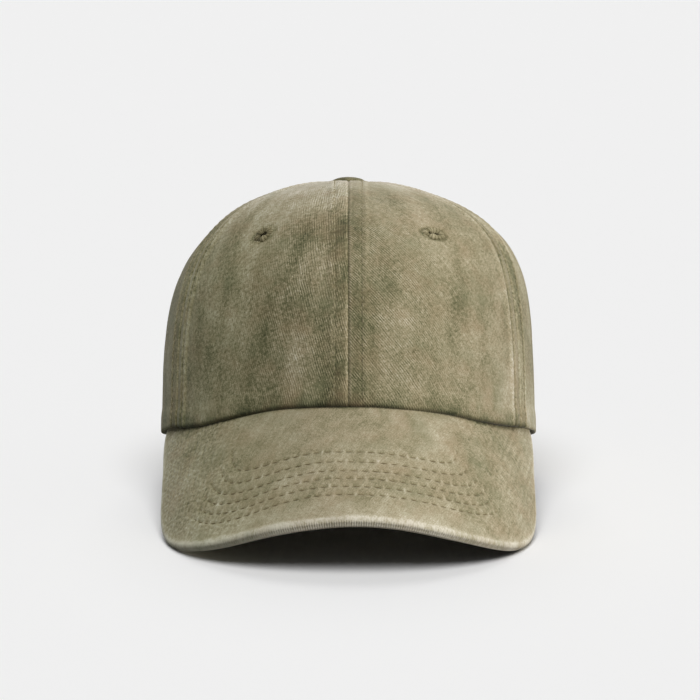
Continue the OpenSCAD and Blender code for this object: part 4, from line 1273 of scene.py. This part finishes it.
# %% Covered button
BUTTON_R, BUTTON_H, BUTTON_UNDER = 8.5, 3.6, 0.2
BUTTON_SIDES, GATHERS, GATHER_H = 120, 11, 0.16
# Painted shade on the button's cloth, more at its foot, where it meets the crown.
BUTTON_SHADE, FOOT_SHADE, FOOT_H = 0.36, 0.15, 1.2


def covered_button():
    """A closed dome of revolution: flat foot, tight round edge with gathers, low crown, a pole at each end."""
    apex = np.array([0, -APEX_LEAN, CROWN_H])
    foot = np.linspace(0.55, 0.95, 5)
    climb = np.linspace(0, 0.5 * np.pi, 30, endpoint=False)
    r = np.concatenate([foot, np.cos(climb) ** 0.8])[:, None] * BUTTON_R
    z = np.concatenate([0 * foot, 0.12 + 0.88 * np.sin(climb) ** 0.9])[:, None] * BUTTON_H + BUTTON_UNDER
    theta = np.linspace(0, 2 * np.pi, BUTTON_SIDES, endpoint=False)
    gathers = GATHER_H * np.cos(GATHERS * theta + 0.8 * np.sin(2 * theta))
    r = r + gathers * bell(r, BUTTON_R, 1.6) * (z > BUTTON_UNDER)
    grid = np.stack([r * np.cos(theta), r * np.sin(theta), z + 0 * theta], -1)
    poles = [[0, 0, BUTTON_UNDER + BUTTON_H], [0, 0, BUTTON_UNDER]]
    index = np.arange(grid[..., 0].size).reshape(grid.shape[:2])
    closed = np.concatenate([index, index[:, :1]], 1)
    top = np.stack([closed[-1, :-1], closed[-1, 1:], np.full(len(theta), index.size)], -1)
    under = np.stack([closed[0, 1:], closed[0, :-1], np.full(len(theta), index.size + 1)], -1)
    points = np.concatenate([grid.reshape(-1, 3), poles])
    return points + apex, grid_quads(closed), np.concatenate([top, under]), points[:, :2]


points, quads, tris, uv = covered_button()
# The button's cloth carries painted shade, more at its foot.
put("crown_button_cloth", points, quads, crown_twill, "washed_twill", node="crown_button_cover", uv=uv,
    tris=tris, wear=0 * uv[:, 0], shade=BUTTON_SHADE + FOOT_SHADE * (points[:, 2] < CROWN_H + FOOT_H))

# %% [markdown]
# ## Inside the cap
# Cotton tapes cover the seam allowances, a sweatband runs round the inside of the lower edge, and a
# binding follows the rear opening. They are thin strips on the crown's own formula, a little deeper
# than the panels, each with its sewn edges and a soft swell between them.

# %% Seam tapes
TAPE_IN, TAPE_T, TAPE_HALF = 1.35, 0.5, 6.5
TAPE_TOP_R, TAPE_MOST, TAPE_ROLL = 8.0, 25, 0.25
INSIDE_ROW = {"pitch": 3.2, "dash": 2.2, "radius": 0.2}


def reach_at(radius, phi):
    """The rise at which the crown has drawn in to a radius round its top, from the inverse of its plan."""
    full = np.hypot(HALF_W * np.sin(np.radians(phi)), HALF_L * np.cos(np.radians(phi)))
    turn = np.arccos((radius / full) ** (around(phi, *FLATNESS) / 2))
    return (turn / (np.pi / 2)) ** (2 / around(phi, *FULLNESS))


def seam_tape(phi, low):
    """A strip along a seam: the half width in degrees grows as the crown draws in, up to a limit."""
    rise = np.linspace(low, reach_at(TAPE_TOP_R, phi), 150)[:, None]
    centre = crown(phi, rise[:, 0], 0.0)
    radius = np.hypot(centre[:, 0], centre[:, 1] + APEX_LEAN)[:, None]
    half = np.minimum(TAPE_MOST, np.degrees(np.arctan(TAPE_HALF / radius)))
    across = np.linspace(-1, 1, 26)
    s = TAPE_HALF * (1 - np.abs(across)) + 0 * rise
    t = arc(centre)[:, None] + 0 * across
    sunk = 0.14 * bell(s, 1.4, 0.5) - 0.05 * ripples(t, s, 17, 6, 15) + rolled(s, TAPE_ROLL)
    outer = crown(phi + half * across, rise, TAPE_IN + rolled(s, TAPE_ROLL))
    inner = crown(phi + half * across, rise, TAPE_IN + TAPE_T + 0.15 - sunk)
    return outer, inner, np.stack([t, s * np.sign(across)], -1)


EDGE_LOW = float(rise_at(4.0, 90.0))
TAPES = {
    "front_seam_tape": (0.0, EDGE_LOW),
    "front_left_seam_tape": (FRONT_SEAM, EDGE_LOW),
    "front_right_seam_tape": (-FRONT_SEAM, EDGE_LOW),
    "back_left_seam_tape": (BACK_SEAM, EDGE_LOW),
    "back_right_seam_tape": (-BACK_SEAM, EDGE_LOW),
    "rear_seam_tape": (180.0, float(rise_at(57.0, 180.0))),
}
inside_rows = []
for name, recipe in TAPES.items():
    outer, inner, uv = seam_tape(*recipe)
    points, quads = shell(outer, inner)
    put(name + "_cotton", points, quads, tape_cotton, "seam_tape", node=name, uv=both_skins(uv))
    for column in (3, -4):
        inside_rows.append(stitches(inner[:, column], (inner - outer)[:, column], **INSIDE_ROW))

# %% Sweatband
BAND_IN, BAND_T, BAND_H, BAND_END = 2.2, 1.0, 33.0, 147.5
BAND_LOW, BAND_ROLL = 0.7, 0.6
BAND_ROW = {"pitch": 3.4, "dash": 2.4, "radius": 0.22}


def sweatband_cloth():
    """A band inside the lower edge: rolled edges, two sunk stitch rows and a soft wave along its length."""
    phi = np.linspace(-BAND_END, BAND_END, 420)[None, :]
    rise = np.linspace(rise_at(BAND_LOW, 90.0), rise_at(BAND_H, 90.0), 44)[:, None]
    base = crown(phi, rise, BAND_IN)
    t, a = arc(base), arc(base, 1)
    height = t[-1:]
    low, high = rolled(t, BAND_ROLL), rolled(height - t, BAND_ROLL)
    swell = 0.7 * smooth(t, 2, 9) * smooth(height - t, 2, 7)
    swell = swell * (1 + 0.5 * ripples(a, t, 71, 12, 40))
    sunk = 0.3 * (bell(t, 4.0, 0.7) + bell(height - t, 3.0, 0.7))
    outer = crown(phi, rise, BAND_IN + low + high)
    inner = crown(phi, rise, BAND_IN + BAND_T + 0.4 + swell - sunk - low - high)
    return outer, inner, np.stack([a, t], -1)


outer, inner, uv = sweatband_cloth()
points, quads = shell(outer, inner)
put("sweatband_cotton", points, quads, band_cotton, "sweatband_cotton", node="sweatband", uv=both_skins(uv))
for row in (5, -5):
    inside_rows.append(stitches(inner[row], inner[row] - outer[row], **BAND_ROW))

# %% Binding of the rear opening
BINDING_W = 8.0


def binding_cloth():
    """A strip between the opening's edge and a line outside it, with rolled edges and a sunk row."""
    share = np.linspace(0, 1, 18)
    outer, inner = (
        np.array([arch_line(BINDING_W * s, depth, 180, 0.02) for s in share])
        for depth in (TAPE_IN, TAPE_IN + TAPE_T))
    s = BINDING_W * np.minimum(share, 1 - share)[:, None] + 0 * outer[..., 0]
    thick = (inner - outer) * (1.3 - 0.35 * bell(s, 1.6, 0.6) - rolled(s, 0.3) / 0.5)[..., None]
    return outer, outer + thick, np.stack([arc(outer, 1), BINDING_W * share[:, None] + 0 * s], -1)


outer, inner, uv = binding_cloth()
points, quads = shell(outer, inner)
put("arch_binding_cotton", points, quads[:, ::-1], tape_cotton, "twill_binding", node="arch_binding",
    uv=both_skins(uv))
for row in (4, -5):
    inside_rows.append(stitches(inner[row], inner[row] - outer[row], **INSIDE_ROW))
points, quads = tube_mesh(np.concatenate(inside_rows))
put("inside_stitching", points, quads, seam_thread, "eyelet_thread")

# %% [markdown]
# ## Closure
# A cloth strap crosses the rear opening and passes through a brass buckle. A short tab, looped round
# the buckle's bar, holds the buckle to the other side. Both are cloth strips carried along a line seen
# from above; the strap lies straight where it goes through the buckle.

# %% Strap
STRAP_LOW, STRAP_W, STRAP_T, FLAT_HALF, STRAP_END = 9.0, 19.0, 1.2, 15.0, 30.2
STRAP_COLS, STRAP_ROWS, STRIP_CROWDING = 200, 40, 0.75
CLOSURE_ROW = dict(INSIDE_ROW, sink=0.02)
strap_rise = float(rise_at(STRAP_LOW + STRAP_W, 180.0))


def strap_line(turn, depth):
    """Plan line of the strap: the crown's plan, cut straight where the buckle sits."""
    flat = np.degrees(np.arcsin(FLAT_HALF / (HALF_W - BAND_IN)))
    line = crown(180 - turn, strap_rise, depth)[..., :2]
    ends = crown(180 - np.array([-flat, flat]), strap_rise, depth)[..., :2]
    share = np.clip((turn + flat) / (2 * flat), 0, 1)[..., None]
    return np.where(np.abs(turn)[..., None] < flat, ends[0] + (ends[1] - ends[0]) * share, line)


def strap_cloth():
    """The strap's two faces: the plan line raised over the strap's width, with rolled and sewn edges."""
    turn = np.linspace(-STRAP_END, STRAP_END, STRAP_COLS)
    across = crowded(STRAP_ROWS, STRIP_CROWDING)[:, None]
    s = STRAP_W * np.minimum(across, 1 - across) + 0 * turn
    trim = (rolled(s, 0.55) + 0.16 * bell(s, 2.2, 0.6))[..., None]
    near, far = (
        np.broadcast_to(strap_line(turn, d), (*s.shape, 2)) for d in (BAND_IN, BAND_IN + STRAP_T))
    inwards = (far - near) / STRAP_T
    z = STRAP_LOW + STRAP_W * across + 0 * turn
    faces = [
        np.concatenate([face, z[..., None]], -1) for face in (near + inwards * trim, far - inwards * trim)]
    return faces, np.stack([arc(faces[0], 1), z], -1), s


def strip_marks(s):
    """Wear on a strip's folded edges and shade in its sewn rows, by the distance from the nearer edge."""
    return {"wear": both_skins(0.25 * bell(s, 0.3, 0.9)), "shade": both_skins(0.12 * bell(s, 2.2, 0.5))}


(outer, inner), uv, s = strap_cloth()
points, quads = shell(outer, inner)
put("closure_strap_cloth", points, quads[:, ::-1], crown_twill, "washed_twill", node="closure_strap",
    uv=both_skins(uv), **strip_marks(s))
closure_rows = [stitches(outer[row], outer[row] - inner[row], **CLOSURE_ROW) for row in (8, -9)]

# %% Tab looped round the buckle's bar
BAR_AT, LOOP_R, TAB_LAYER, TAB_W, TAB_MIDDLE = np.array([14.5, 89.48]), 1.55, 0.72, 17.0, 18.5
TAB_NEAR, TAB_FAR, TAB_DEPTHS, TAB_DIP = 11.2, 28.2, (4.1, 4.95), 2.05
TAB_COLS, TAB_ROWS, LOOP_COLS = 50, 30, 24
BAR_TACK, BAR_TACK_AT = {"pitch": 2.4, "dash": 1.7, "radius": 0.2, "sink": 0.02}, 40


def tab_cloth():
    """A folded strip: out along its end, half a turn round the bar, and back a layer deeper."""
    turn = np.linspace(TAB_FAR, TAB_NEAR, TAB_COLS)
    back = turn[::-1]
    dip = TAB_DIP * (1 - smooth(back, TAB_NEAR, TAB_NEAR + 6))
    half_turn = np.linspace(np.pi / 2, 3 * np.pi / 2, LOOP_COLS)
    loop = BAR_AT + LOOP_R * np.stack([np.cos(half_turn), np.sin(half_turn)], -1)
    near, far = (crown(180 - angle, strap_rise, depth)[:, :2] for angle, depth in (
        (turn, TAB_DEPTHS[0]), (back, TAB_DEPTHS[1] + dip)))
    line = np.concatenate([near, loop, far])
    along = np.gradient(line, axis=0)
    square = np.stack([-along[:, 1], along[:, 0]], -1) / np.linalg.norm(along, axis=1, keepdims=True)
    across = crowded(TAB_ROWS, STRIP_CROWDING)
    s = TAB_W * np.minimum(across, 1 - across)[:, None] + 0 * line[:, 0]
    half = (TAB_LAYER / 2 - 0.8 * rolled(s, 0.35) - 0.06 * bell(s, 2.2, 0.6))[..., None]
    z = TAB_MIDDLE + TAB_W * (across - 0.5)[:, None] + 0 * line[:, 0]
    faces = [np.concatenate([line + sign * half * square, z[..., None]], -1) for sign in (-1, 1)]
    return faces, np.stack([arc(faces[0], 1), z], -1), s


(outer, inner), uv, s = tab_cloth()
points, quads = shell(outer, inner)
put("buckle_tab_cloth", points, quads, crown_twill, "washed_twill", node="buckle_tab", uv=both_skins(uv),
    **strip_marks(s))
up = outer - inner
closure_rows += [stitches(outer[row, :TAB_COLS], up[row, :TAB_COLS], **CLOSURE_ROW) for row in (6, -7)]
closure_rows.append(stitches(outer[4:-4, BAR_TACK_AT], up[4:-4, BAR_TACK_AT], **BAR_TACK))
points, quads = tube_mesh(np.concatenate(closure_rows))
put("closure_stitching", points, quads, seam_thread, "eyelet_thread")

# %% [markdown]
# The buckle's frame, pin and lever keep their CAD shapes. Their edges are softened by a bevel, after a
# weld joins the loose triangles of the imported mesh, and they get the aged brass.

# %% CAD pieces that stay
WELD_M, BEVEL_M, BEVEL_FROM = 1e-6, 0.00018, np.radians(35)
KEPT = {
    "buckle_frame": aged_brass, "buckle_pin": aged_brass, "buckle_lever": aged_brass,
    "crown_button_shell": dull_steel, "crown_button_stem": dull_steel, "crown_button_washer": dull_steel,
}
for name, finish in KEPT.items():
    node = frame["nodes"][name]
    node.data.materials.clear()
    node.data.materials.append(finish)
    if finish is aged_brass:
        weld = node.modifiers.new("weld", "WELD")
        weld.merge_threshold = WELD_M
        bevel = node.modifiers.new("bevel", "BEVEL")
        bevel.width, bevel.segments, bevel.limit_method = BEVEL_M, 2, "ANGLE"
        bevel.angle_limit = BEVEL_FROM
print("CAD pieces with new finishes:", list(KEPT))

# %% [markdown]
# ## Floor, light and camera
# A pale floor runs out of sight behind the cap. A low broad sun from the cap's left, the right of the
# picture, models the crown. It is linked to the cap alone, because its long shadow would cross the floor.
# A second sun, in front and above, lights the visor and the floor and casts the cap's shadow. A weak one
# reaches the back, and a weak pale sky fills the shadows. Suns reach the whole floor alike, so it stays
# even all the way back, where a lamp would leave a pool of light. The floor is pale to the eye and darker
# to the light that bounces off it, so the cap's underside stays in shade.

# %% Floor
FLOOR_M, FLOOR_SEEN, FLOOR_BOUNCE = 40, 0.93, 0.22
bpy.ops.mesh.primitive_plane_add(size=FLOOR_M)
floor = bpy.context.object
floor.name = "floor"
paper = Finish("pale_floor")
pale = paper.mix(paper.seen(), (FLOOR_BOUNCE,) * 3 + (1,), (FLOOR_SEEN,) * 3 + (1,))
paper.feed(paper.shader, {"Base Color": pale, "Roughness": 0.9, "Specular IOR Level": 0.1})
floor.data.materials.append(paper.block)
print("floor", floor.dimensions[:])

# %% Sky and suns
SKY_LEVEL, BACKGROUND_LEVEL = 0.1, 0.87
WHITE, WARM_WHITE = (1.0, 1.0, 1.0), (1.0, 0.985, 0.965)
sky = Finish("studio", "worlds", "Background")
bpy.context.scene.world = sky.block
strength = sky.add("MapRange", {0: sky.seen(), 3: SKY_LEVEL, 4: BACKGROUND_LEVEL})
sky.feed(sky.shader, {"Color": WHITE + (1,), "Strength": strength})


def broad_sun(name, bearing, up, share, wide, colour):
    """A soft sun, so many degrees round from the camera and up; a share of 1 shows colours as written."""
    lamp = bpy.data.lights.new(name, "SUN")
    lamp.energy, lamp.angle, lamp.color = share * np.pi, np.radians(wide), colour
    holder = bpy.data.objects.new(name, lamp)
    bpy.context.collection.objects.link(holder)
    holder.rotation_euler = (np.radians(90 - up), 0, np.radians(bearing))
    print(name, "stands", up, "degrees up")
    return holder


side_sun = broad_sun("side_sun", 70, 8, 0.8, 16, WARM_WHITE)
broad_sun("top_sun", 0, 62, 0.73, 42, WHITE)
broad_sun("back_sun", 180, 50, 0.24, 40, WHITE)
cap_alone = bpy.data.collections.new("cap_alone")
for piece in bpy.context.scene.objects:
    if piece.type == "MESH" and piece is not floor:
        cap_alone.objects.link(piece)
side_sun.light_linking.receiver_collection = cap_alone

# %% [markdown]
# The camera looks at the middle of the cap from straight in front and a little above. A long lens from
# far off keeps the crown and the visor in the same proportion as in a product picture.

# %% Camera
AIM = Vector((0.00068, 0.02495, 0.06658))
CAMERA_TILT, CAMERA_AWAY = np.radians(11.07), 1.5
SENSOR_MM, LENS_MM = 36, 167.75
camera = bpy.data.objects.new("camera", bpy.data.cameras.new("camera"))
bpy.context.collection.objects.link(camera)
camera.location = AIM + Vector((0, -CAMERA_AWAY * np.cos(CAMERA_TILT), CAMERA_AWAY * np.sin(CAMERA_TILT)))
camera.rotation_euler = (np.pi / 2 - CAMERA_TILT, 0, 0)
camera.data.sensor_width = SENSOR_MM
camera.data.lens = LENS_MM
bpy.context.scene.camera = camera
bpy.context.scene.view_settings.view_transform = "Standard"
print("camera", [round(c, 3) for c in camera.location])
